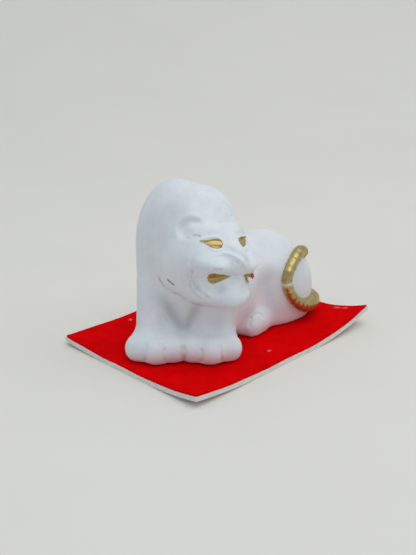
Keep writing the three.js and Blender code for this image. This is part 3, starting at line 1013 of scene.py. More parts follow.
def piece_from(name: str, shape: bmesh.types.BMesh, lift: float) -> bpy.types.Object:
    """Turns clay in millimetres into a finished piece in metres.

    Args:
        name: The piece's name.
        shape: Its shape, which is used up.
        lift: Height of the clay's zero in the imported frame, in metres.

    Returns:
        The piece, at the origin, smooth except at sharp edges.
    """
    place = Matrix.Translation((0.0, 0.0, lift)) @ Matrix.Scale(MM, 4)
    bmesh.ops.transform(shape, matrix=place, verts=shape.verts)
    for face in shape.faces:
        face.smooth = True
    for edge in shape.edges:
        edge.smooth = edge.calc_face_angle(0.0) < math.radians(SHARP_EDGE)
    mesh = bpy.data.meshes.new(name)
    shape.to_mesh(mesh)
    shape.free()
    piece = bpy.data.objects.new(name, mesh)
    bpy.context.scene.collection.objects.link(piece)
    return piece


def dress(
    piece: bpy.types.Object,
    finish: bpy.types.Material,
    body: Body,
    stands_for: Sequence[str] = (),
) -> None:
    """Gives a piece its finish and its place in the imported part.

    Args:
        piece: The piece.
        finish: Its material.
        body: The body that it rides on.
        stands_for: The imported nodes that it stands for.
    """
    piece.data.materials.append(finish)
    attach(piece, body.value)
    if stands_for:
        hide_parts(*stands_for)
    LOG.info("%s: %d faces on %s", piece.name, len(piece.data.polygons), body.value)


def coordinates(mesh: bpy.types.Mesh) -> Points:
    """A mesh's points as rows."""
    flat = np.empty(len(mesh.vertices) * 3)
    mesh.vertices.foreach_get("co", flat)
    return flat.reshape(-1, 3)


def paint(mesh: bpy.types.Mesh, name: str, values: Values) -> None:
    """Stores one number for each point of a mesh, for its finish to read.

    Args:
        mesh: The mesh.
        name: The attribute's name.
        values: The numbers.
    """
    layer = mesh.attributes.new(name, "FLOAT", "POINT")
    layer.data.foreach_set("value", values.astype(np.float32))


# Finishes


def linear(hex_colour: str) -> tuple[float, float, float, float]:
    """An sRGB hex colour as the linear one that Blender mixes."""
    shares = [int(hex_colour[i : i + 2], 16) / 255.0 for i in (1, 3, 5)]
    bright = [s / 12.92 if s <= 0.04045 else ((s + 0.055) / 1.055) ** 2.4 for s in shares]
    return (*bright, 1.0)


def per_mm(size: float) -> float:
    """The texture scale, on coordinates in metres, of a pattern of a size in millimetres."""
    return 1.0 / (size * MM)


def node(
    tree: bpy.types.NodeTree, kind: str, inputs: dict[int | str, object], **settings: object
) -> bpy.types.Node:
    """Adds a shader node with its settings and links.

    Args:
        tree: The node tree.
        kind: The node's type name.
        inputs: A value, or an output to link, for each input by name or number.
        settings: Values of the node's own settings.

    Returns:
        The node.
    """
    made = tree.nodes.new(kind)
    for name, value in settings.items():
        setattr(made, name, value)
    for key, value in inputs.items():
        if isinstance(value, bpy.types.NodeSocket):
            tree.links.new(value, made.inputs[key])
        else:
            made.inputs[key].default_value = value
    return made


def new_material(name: str) -> tuple[bpy.types.Material, bpy.types.NodeTree, bpy.types.Node]:
    """An empty material.

    Args:
        name: Its name.

    Returns:
        The material, its node tree and its shader.
    """
    material = bpy.data.materials.new(name)
    material.use_nodes = True
    return material, material.node_tree, material.node_tree.nodes["Principled BSDF"]


@dataclass(frozen=True)
class MatteSlip:
    """Fired clay under a matte white slip, brushed on by hand.

    It gives the eye a chalky, cool white with faint upright brush marks, fine
    grains, dirt in the crease under the jaw, small grey breaks in the slip, and
    grey painted shade in the hollow between chest and forelegs, in one dimple and
    along one brow groove.
    """

    white: str = "#E4EAEE"
    handled: str = "#E1E4E7"
    shade: str = "#CBD5DC"
    dirt: str = "#96765E"
    # Grey of bare clay where the slip broke away, and also of painted shade in the hollow between
    # chest and forelegs, in one dimple and along one brow groove.
    chip_and_shade: str = "#6E6D64"
    mottle_mm: float = 7.0
    brush_mm: Pair = (1.5, 20.0)
    # Single grains are too fine to show, so small clusters of them are drawn.
    grain_mm: float = 0.35
    speck_mm: float = 2.6
    patch_ramp: Ramp = (0.38, 0.72, 0.0, 0.55)
    streak_ramp: Ramp = (0.45, 0.8, 0.0, 0.22)
    dirt_ramp: Ramp = (0.36, 0.62, 0.1, 1.0)
    rough_ramp: Ramp = (0.3, 0.7, 0.5, 0.68)

    def build(self) -> bpy.types.Material:
        """Makes the material."""
        material, tree, shader = new_material("matte_white_slip")
        place = node(tree, "ShaderNodeTexCoord", {}).outputs["Object"]
        mottle = node(
            tree,
            "ShaderNodeTexNoise",
            {"Vector": place, "Scale": per_mm(self.mottle_mm), "Detail": 4.0},
        )
        across, along = (per_mm(size) for size in self.brush_mm)
        drawn = node(tree, "ShaderNodeMapping", {"Vector": place, "Scale": (across, across, along)})
        brush = node(
            tree,
            "ShaderNodeTexNoise",
            {"Vector": drawn.outputs[0], "Scale": 1.0, "Detail": 3.0},
        )
        grain = node(
            tree,
            "ShaderNodeTexNoise",
            {"Vector": place, "Scale": per_mm(self.grain_mm), "Detail": 2.0},
        )
        speck = node(
            tree,
            "ShaderNodeTexNoise",
            {"Vector": place, "Scale": per_mm(self.speck_mm), "Detail": 3.0},
        )
        wash = node(tree, "ShaderNodeAttribute", {}, attribute_name="wash")
        fresh = node(
            tree,
            "ShaderNodeMix",
            {0: wash.outputs["Fac"], 6: linear(self.handled), 7: linear(self.white)},
            data_type="RGBA",
        )
        patches = node(
            tree,
            "ShaderNodeMapRange",
            {0: mottle.outputs["Fac"], **dict(enumerate(self.patch_ramp, 1))},
        )
        streaks = node(
            tree,
            "ShaderNodeMapRange",
            {0: brush.outputs["Fac"], **dict(enumerate(self.streak_ramp, 1))},
        )
        uneven = node(
            tree,
            "ShaderNodeMath",
            {0: patches.outputs[0], 1: streaks.outputs[0]},
            operation="ADD",
            use_clamp=True,
        )
        base = node(
            tree,
            "ShaderNodeMix",
            {0: uneven.outputs[0], 6: fresh.outputs[2], 7: linear(self.shade)},
            data_type="RGBA",
        )
        soil = node(tree, "ShaderNodeAttribute", {}, attribute_name="soil")
        broken = node(
            tree,
            "ShaderNodeMapRange",
            {0: speck.outputs["Fac"], **dict(enumerate(self.dirt_ramp, 1))},
        )
        stain = node(
            tree,
            "ShaderNodeMath",
            {0: soil.outputs["Fac"], 1: broken.outputs[0]},
            operation="MULTIPLY",
        )
        soiled = node(
            tree,
            "ShaderNodeMix",
            {0: stain.outputs[0], 6: base.outputs[2], 7: linear(self.dirt)},
            data_type="RGBA",
        )
        # Grey where the slip broke away, and painted shade in the hollow between chest and
        # forelegs, one dimple and one brow groove.
        chip_and_shade = node(tree, "ShaderNodeAttribute", {}, attribute_name="chip_and_shade")
        chipped_and_shaded = node(
            tree,
            "ShaderNodeMix",
            {0: chip_and_shade.outputs["Fac"], 6: soiled.outputs[2], 7: linear(self.chip_and_shade)},
            data_type="RGBA",
        )
        tree.links.new(chipped_and_shaded.outputs[2], shader.inputs["Base Color"])
        rough = node(
            tree,
            "ShaderNodeMapRange",
            {0: brush.outputs["Fac"], **dict(enumerate(self.rough_ramp, 1))},
        )
        tree.links.new(rough.outputs[0], shader.inputs["Roughness"])
        strokes = node(
            tree,
            "ShaderNodeBump",
            {"Height": brush.outputs["Fac"], "Strength": 0.22, "Distance": 0.12 * MM},
        )
        grains = node(
            tree,
            "ShaderNodeBump",
            {
                "Height": grain.outputs["Fac"],
                "Strength": 0.3,
                "Distance": 0.05 * MM,
                "Normal": strokes.outputs[0],
            },
        )
        tree.links.new(grains.outputs[0], shader.inputs["Normal"])
        shader.inputs["Specular IOR Level"].default_value = 0.35
        return material


@dataclass(frozen=True)
class GoldLustre:
    """Gold paint brushed thinly on the clay and worn.

    It gives the eye a soft greenish-gold shine that mirrors the felt, with
    brown where it pooled and cream where it has rubbed through.
    """

    gold: str = "#BBA870"
    pooled: str = "#A08850"
    bare: str = "#E4E2DA"
    mottle_mm: float = 2.2
    brush_mm: float = 0.5
    pool_ramp: Ramp = (0.42, 0.75, 0.0, 0.7)
    metal_ramp: Ramp = (0.0, 1.0, 0.85, 0.0)
    rough_ramp: Ramp = (0.3, 0.7, 0.24, 0.4)

    def build(self) -> bpy.types.Material:
        """Makes the material."""
        material, tree, shader = new_material("worn_gold_lustre")
        place = node(tree, "ShaderNodeTexCoord", {}).outputs["Object"]
        mottle = node(
            tree,
            "ShaderNodeTexNoise",
            {"Vector": place, "Scale": per_mm(self.mottle_mm), "Detail": 4.0},
        )
        fine = node(
            tree,
            "ShaderNodeTexNoise",
            {"Vector": place, "Scale": per_mm(self.brush_mm), "Detail": 3.0},
        )
        pools = node(
            tree,
            "ShaderNodeMapRange",
            {0: mottle.outputs["Fac"], **dict(enumerate(self.pool_ramp, 1))},
        )
        base = node(
            tree,
            "ShaderNodeMix",
            {0: pools.outputs[0], 6: linear(self.gold), 7: linear(self.pooled)},
            data_type="RGBA",
        )
        bare = node(tree, "ShaderNodeAttribute", {}, attribute_name="bare")
        worn = node(
            tree,
            "ShaderNodeMix",
            {0: bare.outputs["Fac"], 6: base.outputs[2], 7: linear(self.bare)},
            data_type="RGBA",
        )
        tree.links.new(worn.outputs[2], shader.inputs["Base Color"])
        metal = node(
            tree,
            "ShaderNodeMapRange",
            {0: bare.outputs["Fac"], **dict(enumerate(self.metal_ramp, 1))},
        )
        tree.links.new(metal.outputs[0], shader.inputs["Metallic"])
        rough = node(
            tree,
            "ShaderNodeMapRange",
            {0: fine.outputs["Fac"], **dict(enumerate(self.rough_ramp, 1))},
        )
        tree.links.new(rough.outputs[0], shader.inputs["Roughness"])
        bump = node(
            tree,
            "ShaderNodeBump",
            {"Height": fine.outputs["Fac"], "Strength": 0.3, "Distance": 0.06 * MM},
        )
        tree.links.new(bump.outputs[0], shader.inputs["Normal"])
        return material


@dataclass(frozen=True)
class PressedFelt:
    """Pressed wool felt dyed red.

    It gives the eye a deep, even red without shine, broken by short tangled
    fibres and a soft pale nap where the light grazes it.
    """

    red: str = "#E80208"
    deep: str = "#D00004"
    # Single fibres are too fine to show, so tangles of them are drawn.
    fibre_mm: float = 0.45
    patch_mm: float = 6.0
    dark_ramp: Ramp = (0.16, 0.36, 1.0, 0.0)
    lint: str = "#E6A8A0"
    nap: str = "#FF3A30"

    def build(self) -> bpy.types.Material:
        """Makes the material."""
        material, tree, shader = new_material("pressed_red_felt")
        place = node(tree, "ShaderNodeTexCoord", {}).outputs["Object"]
        fibre = node(
            tree,
            "ShaderNodeTexNoise",
            {
                "Vector": place,
                "Scale": per_mm(self.fibre_mm),
                "Detail": 5.0,
                "Roughness": 0.7,
                "Distortion": 1.5,
            },
        )
        patch = node(
            tree,
            "ShaderNodeTexNoise",
            {"Vector": place, "Scale": per_mm(self.patch_mm), "Detail": 3.0},
        )
        mixed = node(
            tree,
            "ShaderNodeMath",
            {0: fibre.outputs["Fac"], 1: patch.outputs["Fac"]},
            operation="MULTIPLY",
        )
        dark = node(
            tree,
            "ShaderNodeMapRange",
            {0: mixed.outputs[0], **dict(enumerate(self.dark_ramp, 1))},
        )
        base = node(
            tree,
            "ShaderNodeMix",
            {0: dark.outputs[0], 6: linear(self.red), 7: linear(self.deep)},
            data_type="RGBA",
        )
        lint = node(tree, "ShaderNodeAttribute", {}, attribute_name="lint")
        linty = node(
            tree,
            "ShaderNodeMix",
            {0: lint.outputs["Fac"], 6: base.outputs[2], 7: linear(self.lint)},
            data_type="RGBA",
        )
        tree.links.new(linty.outputs[2], shader.inputs["Base Color"])
        bump = node(
            tree,
            "ShaderNodeBump",
            {"Height": fibre.outputs["Fac"], "Strength": 0.5, "Distance": 0.15 * MM},
        )
        tree.links.new(bump.outputs[0], shader.inputs["Normal"])
        shader.inputs["Roughness"].default_value = 1.0
        shader.inputs["Specular IOR Level"].default_value = 0.02
        shader.inputs["Sheen Weight"].default_value = 0.05
        shader.inputs["Sheen Tint"].default_value = linear(self.nap)
        return material


@dataclass(frozen=True)
class Pasteboard:
    """Solid white pasteboard with a cut edge.

    It gives the eye a soft off-white with paper fibres and faint layers.
    """

    white: str = "#E6E0DC"
    shade: str = "#CFC6C2"
    fibre_mm: Pair = (2.5, 0.3)
    shade_ramp: Ramp = (0.4, 0.7, 0.0, 0.8)

    def build(self) -> bpy.types.Material:
        """Makes the material."""
        material, tree, shader = new_material("white_pasteboard")
        place = node(tree, "ShaderNodeTexCoord", {}).outputs["Object"]
        along, across = (per_mm(size) for size in self.fibre_mm)
        drawn = node(tree, "ShaderNodeMapping", {"Vector": place, "Scale": (along, along, across)})
        fibre = node(
            tree,
            "ShaderNodeTexNoise",
            {"Vector": drawn.outputs[0], "Scale": 1.0, "Detail": 4.0},
        )
        shade = node(
            tree,
            "ShaderNodeMapRange",
            {0: fibre.outputs["Fac"], **dict(enumerate(self.shade_ramp, 1))},
        )
        base = node(
            tree,
            "ShaderNodeMix",
            {0: shade.outputs[0], 6: linear(self.white), 7: linear(self.shade)},
            data_type="RGBA",
        )
        tree.links.new(base.outputs[2], shader.inputs["Base Color"])
        bump = node(
            tree,
            "ShaderNodeBump",
            {"Height": fibre.outputs["Fac"], "Strength": 0.4, "Distance": 0.1 * MM},
        )
        tree.links.new(bump.outputs[0], shader.inputs["Normal"])
        shader.inputs["Roughness"].default_value = 0.9
        return material


@dataclass(frozen=True)
class RedPaint:
    """A dab of red paint, with a slight gloss and uneven cover."""

    red: str = "#B8201F"
    thin: str = "#C94A40"
    cover_mm: float = 0.6

    def build(self) -> bpy.types.Material:
        """Makes the material."""
        material, tree, shader = new_material("red_paint")
        place = node(tree, "ShaderNodeTexCoord", {}).outputs["Object"]
        cover = node(
            tree,
            "ShaderNodeTexNoise",
            {"Vector": place, "Scale": per_mm(self.cover_mm), "Detail": 2.0},
        )
        base = node(
            tree,
            "ShaderNodeMix",
            {0: cover.outputs["Fac"], 6: linear(self.red), 7: linear(self.thin)},
            data_type="RGBA",
        )
        tree.links.new(base.outputs[2], shader.inputs["Base Color"])
        shader.inputs["Roughness"].default_value = 0.45
        return material


@dataclass(frozen=True)
class StudioPaper:
    """The pale sweep that the tiger is shown on, with no shine."""

    pale: str = "#E4E2DA"
    cloud: str = "#DEDCD5"
    cloud_mm: float = 60.0

    def build(self) -> bpy.types.Material:
        """Makes the material."""
        material, tree, shader = new_material("studio_paper")
        place = node(tree, "ShaderNodeTexCoord", {}).outputs["Object"]
        cloud = node(
            tree,
            "ShaderNodeTexNoise",
            {"Vector": place, "Scale": per_mm(self.cloud_mm), "Detail": 2.0},
        )
        base = node(
            tree,
            "ShaderNodeMix",
            {0: cloud.outputs["Fac"], 6: linear(self.pale), 7: linear(self.cloud)},
            data_type="RGBA",
        )
        tree.links.new(base.outputs[2], shader.inputs["Base Color"])
        shader.inputs["Roughness"].default_value = 0.95
        shader.inputs["Specular IOR Level"].default_value = 0.15
        return material


# Sub-assemblies


@dataclass(frozen=True)
class ChipAndShadeMark:
    """A grey mark from one place to another, left and up in the head frame: most are scratches and
    breaks in the slip, two are painted shade.
    """

    start: Pair
    end: Pair
    width: float
    strength: float


@dataclass(frozen=True)
class Castings:
    """The body and the head, cast apart and luted at the neck.

    Sizes are in millimetres, but for the lift of the figure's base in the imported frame, in
    metres. A fade is its start and its width.
    """

    detail: ClayDetail
    lift: float
    voxel: float
    rough_passes: int = 5
    even_passes: int = 3
    fine_passes: int = 4
    foot_rim: float = 0.5
    evening: float = 0.5
    narrow_stroke: float = 0.62
    stroke_reach: float = 1.3
    opening_reach: float = 0.68
    wash_width: float = 2.0
    soil_most: float = 0.5
    soil_width: float = 0.25
    soil_below: Pair = (-8.5, 3.0)
    # Painted shade in the hollow between chest and forelegs: its strength, its shift and width
    # across the crease, and its fades above and below.
    hollow_most: float = 0.34
    hollow_shift: float = 0.4
    hollow_width: float = 1.8
    hollow_above: Pair = (7.0, 3.0)
    hollow_below: Pair = (21.0, 5.0)
    marks: tuple[ChipAndShadeMark, ...] = (
        ChipAndShadeMark((-12.8, -10.2), (-11.7, -11.3), 0.32, 1.0),
        # Painted shade along the groove over the outer end of the right eye.
        ChipAndShadeMark((-11.4, 5.8), (-9.6, 6.1), 0.22, 0.75),
        ChipAndShadeMark((-9.2, -2.3), (-6.8, -2.0), 0.2, 0.45),
        ChipAndShadeMark((-13.3, 5.7), (-13.2, 5.6), 0.3, 0.4),
        ChipAndShadeMark((-12.3, 5.1), (-12.2, 5.0), 0.28, 0.4),
        ChipAndShadeMark((4.6, 11.9), (4.7, 11.8), 0.25, 0.6),
        # Painted shade in the right dimple under the mouth.
        ChipAndShadeMark((-4.5, -9.3), (-4.4, -9.3), 1.2, 0.2),
    )

    def heap(self) -> bmesh.types.BMesh:
        """The rough lumps, heaped where they belong."""
        clay = self.detail.clay
        rough = bmesh.new()
        for mass in (clay.fore, clay.hind, clay.head):
            for lump in mass.lumps():
                lump.rough(rough, mass.frame.matrix())
        return rough

    def close(self, shape: bmesh.types.BMesh) -> bmesh.types.BMesh:
        """Closes overlapping clay into one even skin.

        Args:
            shape: The clay, which is used up.

        Returns:
            The skin.
        """
        mesh = bpy.data.meshes.new("rough_clay")
        shape.to_mesh(mesh)
        shape.free()
        heap = bpy.data.objects.new("rough_clay", mesh)
        bpy.context.scene.collection.objects.link(heap)
        remesh = heap.modifiers.new("close", "REMESH")
        remesh.mode = "VOXEL"
        remesh.voxel_size = self.voxel
        closed = heap.evaluated_get(bpy.context.evaluated_depsgraph_get())
        skin = bmesh.new()
        skin.from_mesh(closed.data)
        bpy.data.objects.remove(heap)
        return skin

    def skin(self) -> bmesh.types.BMesh:
        """The whole figure's finished skin, in millimetres, cut flat at the base."""
        shape = self.close(self.heap())
        self.draw(shape, self.detail.clay.masses, self.rough_passes)
        shape = self.close(shape)
        slice_off(shape, (0, 0, 0), (0, 0, -1), keep_front=False)
        self.draw(shape, self.detail.clay.masses, self.even_passes, floor=0.0)
        bmesh.ops.smooth_vert(
            shape,
            verts=[vert for vert in shape.verts if vert.co.z > self.foot_rim],
            factor=self.evening,
            use_axis_x=True,
            use_axis_y=True,
            use_axis_z=True,
        )
        self.refine(shape)
        self.draw(shape, self.detail.distance, self.fine_passes, floor=0.0)
        return shape

    def refine(self, shape: bmesh.types.BMesh) -> None:
        """Halves the faces along narrow strokes and around the eyes and the mouth.

        Args:
            shape: The skin.
        """
        drawn = [line for line in self.detail.strokes if line.stroke.width < self.narrow_stroke]
        narrow = [point for line in drawn for point in line.points]
        marks = KDTree(len(narrow))
        for index, point in enumerate(narrow):
            marks.insert(point, index)
        marks.balance()
        places = [
            (Vector(patch.origin), place.length * self.opening_reach)
            for place, patch in self.detail.cuts
            if isinstance(place, Opening)
        ]
        near = []
        for edge in shape.edges:
            at = edge.verts[0].co
            by_opening = any((at - middle).length < reach for middle, reach in places)
            if by_opening or marks.find(at)[2] < self.stroke_reach:
                near.append(edge)
        bmesh.ops.subdivide_edges(shape, edges=near, cuts=1, use_grid_fill=True)

    def draw(
        self, shape: bmesh.types.BMesh, surface: Field, passes: int, floor: float = -np.inf
    ) -> None:
        """Draws a skin's points onto clay.

        Args:
            shape: The skin.
            surface: Distances to the clay.
            passes: How many times each point is corrected.
            floor: Height that no point goes below.
        """
        drawn = draw_onto(surface, points_of(shape), passes)
        drawn[:, 2] = np.maximum(drawn[:, 2], floor)
        move_to(shape, drawn)

    def part(self, name: str, skin: bmesh.types.BMesh, keep_head: bool) -> bpy.types.Object:
        """Cuts one casting from the skin at the neck joint.

        Args:
            name: The casting's name.
            skin: The whole figure's skin, which is left as it is.
            keep_head: Whether the head's side is kept.

        Returns:
            The casting, with the dirt, the grey of bare clay and painted shade, and the wash of its
            finish stored on it.
        """
        shape = skin.copy()
        middle, normal = self.detail.clay.neck_plane()
        slice_off(shape, middle, normal, keep_front=keep_head)
        piece = piece_from(name, shape, self.lift)
        points = (coordinates(piece.data) - np.array([0.0, 0.0, self.lift])) / MM
        paint(piece.data, "soil", self.soil(points))
        # Grey of bare clay, and painted shade in the hollow between chest and forelegs and in two
        # marks on the head.
        paint(piece.data, "chip_and_shade", self.chips_and_shade(points))
        paint(piece.data, "wash", self.wash(points))
        return piece

    def wash(self, points: Points) -> Values:
        """How fresh and cool the white is at points: most on the face, least on the body."""
        clay = self.detail.clay
        return smoothstep((clay.trunk(points) - clay.head.distance(points)) / self.wash_width)

    def soil(self, points: Points) -> Values:
        """How much dirt lies at points, in the crease between jaw and chest."""
        clay = self.detail.clay
        crease = clay.trunk(points) - clay.head.distance(points)
        start, fade = self.soil_below
        low = smoothstep((start - clay.head.frame.inside(points)[:, 2]) / fade)
        return self.soil_most * np.exp(-((crease / self.soil_width) ** 2)) * low

    def hollow_shade(self, points: Points) -> Values:
        """How much painted shade lies at points, in the hollow between chest and forelegs."""
        fore = self.detail.clay.fore
        local = fore.frame.inside(points)
        beside = fore.foreleg.distance(folded(local)) - fore.chest.distance(local)
        above = smoothstep((local[:, 2] - self.hollow_above[0]) / self.hollow_above[1])
        below = smoothstep((self.hollow_below[0] - local[:, 2]) / self.hollow_below[1])
        # Painted shade, strongest along the crease between foreleg and chest.
        thin = np.exp(-(((beside + self.hollow_shift) / self.hollow_width) ** 2))
        return self.hollow_most * thin * (above * below) * (local[:, 0] > 0.0)

    def chips_and_shade(self, points: Points) -> Values:
        """How much grey shows at points: bare clay where the slip broke, and painted shade in the
        hollow between chest and forelegs, in one dimple and along one brow groove.
        """
        clay = self.detail.clay
        shown = self.hollow_shade(points)
        for mark in self.marks:
            ends = seat(clay.head.distance, clay.head.frame, [mark.start, mark.end])
            axis = ends[1] - ends[0]
            along = np.clip((points - ends[0]) @ axis / (axis @ axis), 0.0, 1.0)
            away = lengths(points - ends[0] - along[:, None] * axis)
            shown = np.maximum(shown, mark.strength * np.exp(-((away / mark.width) ** 2)))
        return shown

    def build(self, slip: bpy.types.Material) -> None:
        """Makes both castings.

        Args:
            slip: Their finish.
        """
        skin = self.skin()
        for name, keep_head, packed in (
            ("tiger_body", False, "body_casting"),
            ("tiger_head", True, "head_casting"),
        ):
            dress(self.part(name, skin, keep_head), slip, Body.FIGURE, [packed])
        skin.free()


@dataclass(frozen=True)
class Gilding:
    """The gold in the eyes and the corners of the mouth, and on the tail.

    Sizes are in millimetres, but for the lift of the figure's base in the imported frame, in
    metres. The tail's cuts and bare band are each a strength and a width.
    """

    detail: ClayDetail
    lift: float
    film: float = 0.1
    tuck: float = 0.1
    coat_cells: tuple[int, int] = (40, 12)
    coat_start: float = 3.5
    coat_passes: int = 30
    coat_step: Pair = (-0.2, 0.5)
    tip_dome: tuple[float, ...] = (0.02, 0.12, 0.3, 0.55, 0.8)
    tip_length: float = 2.0
    tail_rings: int = 130
    tail_cut: Pair = (0.22, 0.35)
    tail_bare: Pair = (0.9, 0.4)
    tail_look: float = 0.3
    dab_place: Pair = (7.5, -4.95)
    dab_size: Triple = (1.0, 0.85, 0.4)
    dab_ripples: tuple[tuple[float, Triple], ...] = (
        (0.14, (4.1, 3.3, 2.7)),
        (0.1, (-2.3, 5.7, 4.9)),
    )

    def coat(self, name: str, opening: Opening, patch: Patch) -> bpy.types.Object:
        """A thin coat of gold that follows the bottom of an opening.

        Args:
            name: The coat's name.
            opening: The opening.
            patch: Its place on the face.

        Returns:
            The coat.
        """
        columns, rows = self.coat_cells
        shape = bmesh.new()
        bmesh.ops.create_grid(shape, x_segments=columns, y_segments=rows, size=1.0)
        flat = points_of(shape)
        start, stop = opening.ends()
        along = (start + stop) / 2.0 + (stop - start + 2.0 * self.tuck) / 2.0 * flat[:, 0]
        lower, upper = opening.edges(along)
        up = (lower + upper) / 2.0 + (upper - lower + 2.0 * self.tuck) / 2.0 * flat[:, 1]
        places = np.column_stack([along, up, np.full(len(along), self.coat_start)])
        level = opening.gold_level(places, self.film)
        points = patch.place(places)
        inward = -patch.axes[:, 2]
        for _ in range(self.coat_passes):
            gap = self.detail.modelled(points) + level
            points = points + inward * np.clip(gap * SAFE_SHARE, *self.coat_step)[:, None]
        move_to(shape, points)
        bmesh.ops.remove_doubles(shape, verts=shape.verts, dist=0.01)
        bmesh.ops.recalc_face_normals(shape, faces=shape.faces)
        if sum((face.normal.dot(Vector(-inward)) for face in shape.faces), 0.0) < 0.0:
            bmesh.ops.reverse_faces(shape, faces=shape.faces)
        bmesh.ops.solidify(shape, geom=shape.faces[:], thickness=3.0 * self.film)
        bmesh.ops.recalc_face_normals(shape, faces=shape.faces)
        piece = piece_from(name, shape, self.lift)
        paint(piece.data, "bare", np.zeros(len(piece.data.vertices)))
        return piece

    def tail(self) -> bpy.types.Object:
        """The tail, rolled ring by ring from its tip to its root."""
        roll = self.detail.clay.tail
        line, normals = self.detail.tail_line, self.detail.tail_normals
        gaps = np.concatenate([[0.0], np.cumsum(lengths(np.diff(line, axis=0)))])
        length = gaps[-1]
        dome = np.array(self.tip_dome)
        tip = -self.tip_length * np.cos(np.arcsin(dome))
        distances = np.concatenate([tip, np.linspace(0.0, length, self.tail_rings)])
        shrink = np.concatenate([dome, np.ones(self.tail_rings)])
        share = np.clip(distances / length, 0.0, 1.0)
        ridges = roll.ridge_height * np.sin(2.0 * math.pi * distances / roll.ridge_pitch)
        depth, width = self.tail_cut
        cuts = sum(depth * np.exp(-(((share - cut) * length / width) ** 2)) for cut in roll.cuts)
        radius = shrink * (roll.radius(share) + ridges - cuts)
        shape = bmesh.new()
        edges: list[bmesh.types.BMEdge] = []
        before = Matrix.Identity(4)
        for distance, size, part in zip(distances, radius, share):
            at = point_along(line, gaps, part * length)
            ahead = point_along(line, gaps, min(part * length + self.tail_look, length))
            behind = point_along(line, gaps, max(part * length - self.tail_look, 0.0))
            forward = (ahead - behind) / np.linalg.norm(ahead - behind)
            if distance < 0.0:
                at = at + forward * distance
            normal = point_along(normals, gaps, part * length)
            across = np.cross(forward, normal)
            across /= np.linalg.norm(across)
            normal = np.cross(across, forward)
            place = Matrix(np.column_stack([across, normal, forward]).tolist()).to_4x4()
            station = Matrix.Translation(at) @ place @ Matrix.Scale(size, 4)
            if not edges:
                made = bmesh.ops.create_circle(
                    shape, cap_ends=True, segments=roll.sides, radius=1.0, matrix=station
                )
                edges = list({edge for vert in made["verts"] for edge in vert.link_edges})
            else:
                grown = bmesh.ops.extrude_edge_only(shape, edges=edges)["geom"]
                edges = far_edges(grown)
                turned = station @ before.inverted()
                bmesh.ops.transform(shape, matrix=turned, verts=verts_of(grown))
            before = station
        bmesh.ops.holes_fill(shape, edges=edges)
        bmesh.ops.recalc_face_normals(shape, faces=shape.faces)
        piece = piece_from("tiger_tail", shape, self.lift)
        most, width = self.tail_bare
        rubbed = most * np.exp(-(((share - roll.cuts[1]) * length / width) ** 2))
        paint(piece.data, "bare", np.repeat(rubbed, roll.sides))
        smooth = piece.modifiers.new("smooth", "SUBSURF")
        smooth.levels = 2
        smooth.render_levels = 2
        return piece

    def build(self, gold: bpy.types.Material, red: bpy.types.Material) -> None:
        """Makes every gilded piece, and the red dab beside the left mouth corner.

        Args:
            gold: The finish of the gold.
            red: The finish of the dab.
        """
        clay = self.detail.clay
        for side in Side:
            word = side.name.lower()
            for opening, part in ((clay.eye, "eye"), (clay.mouth, "mouth")):
                coat = self.coat(f"{word}_{part}_gold", opening, clay.patch(opening, side))
                dress(coat, gold, Body.FIGURE, [f"{word}_{part}_gilding"])
        dress(self.tail(), gold, Body.FIGURE, ["tail_roll"])
        dress(self.dab(), red, Body.FIGURE)

    def dab(self) -> bpy.types.Object:
        """A small dab of red paint at the outer end of the left mouth corner."""
        clay = self.detail.clay
        at = seat(self.detail.modelled, clay.head.frame, [self.dab_place])
        normal = slope(self.detail.modelled, at, self.detail.modelled(at))[0]
        turn = Vector(normal).to_track_quat("Z", "Y").to_matrix().to_4x4()
        shape = bmesh.new()
        place = Matrix.Translation(at[0]) @ turn @ Matrix.Diagonal((*self.dab_size, 1.0))
        bmesh.ops.create_icosphere(shape, subdivisions=4, radius=1.0, matrix=place)
        points = points_of(shape)
        ripple = np.ones(len(points))
        for height, waves in self.dab_ripples:
            ripple += height * np.sin(points @ np.array(waves))
        for vert, grow in zip(shape.verts, ripple):
            vert.co = Vector(at[0]).lerp(vert.co, grow)
        return piece_from("red_dab", shape, self.lift)


@dataclass(frozen=True)
class Fleck:
    """A fleck of lint or a rubbed place on the felt."""

    x: float
    y: float
    size: Pair
    strength: float


@dataclass(frozen=True)
class Curl:
    """One corner of the mat, and how far it is curled up."""

    x: int
    y: int
    lift: float


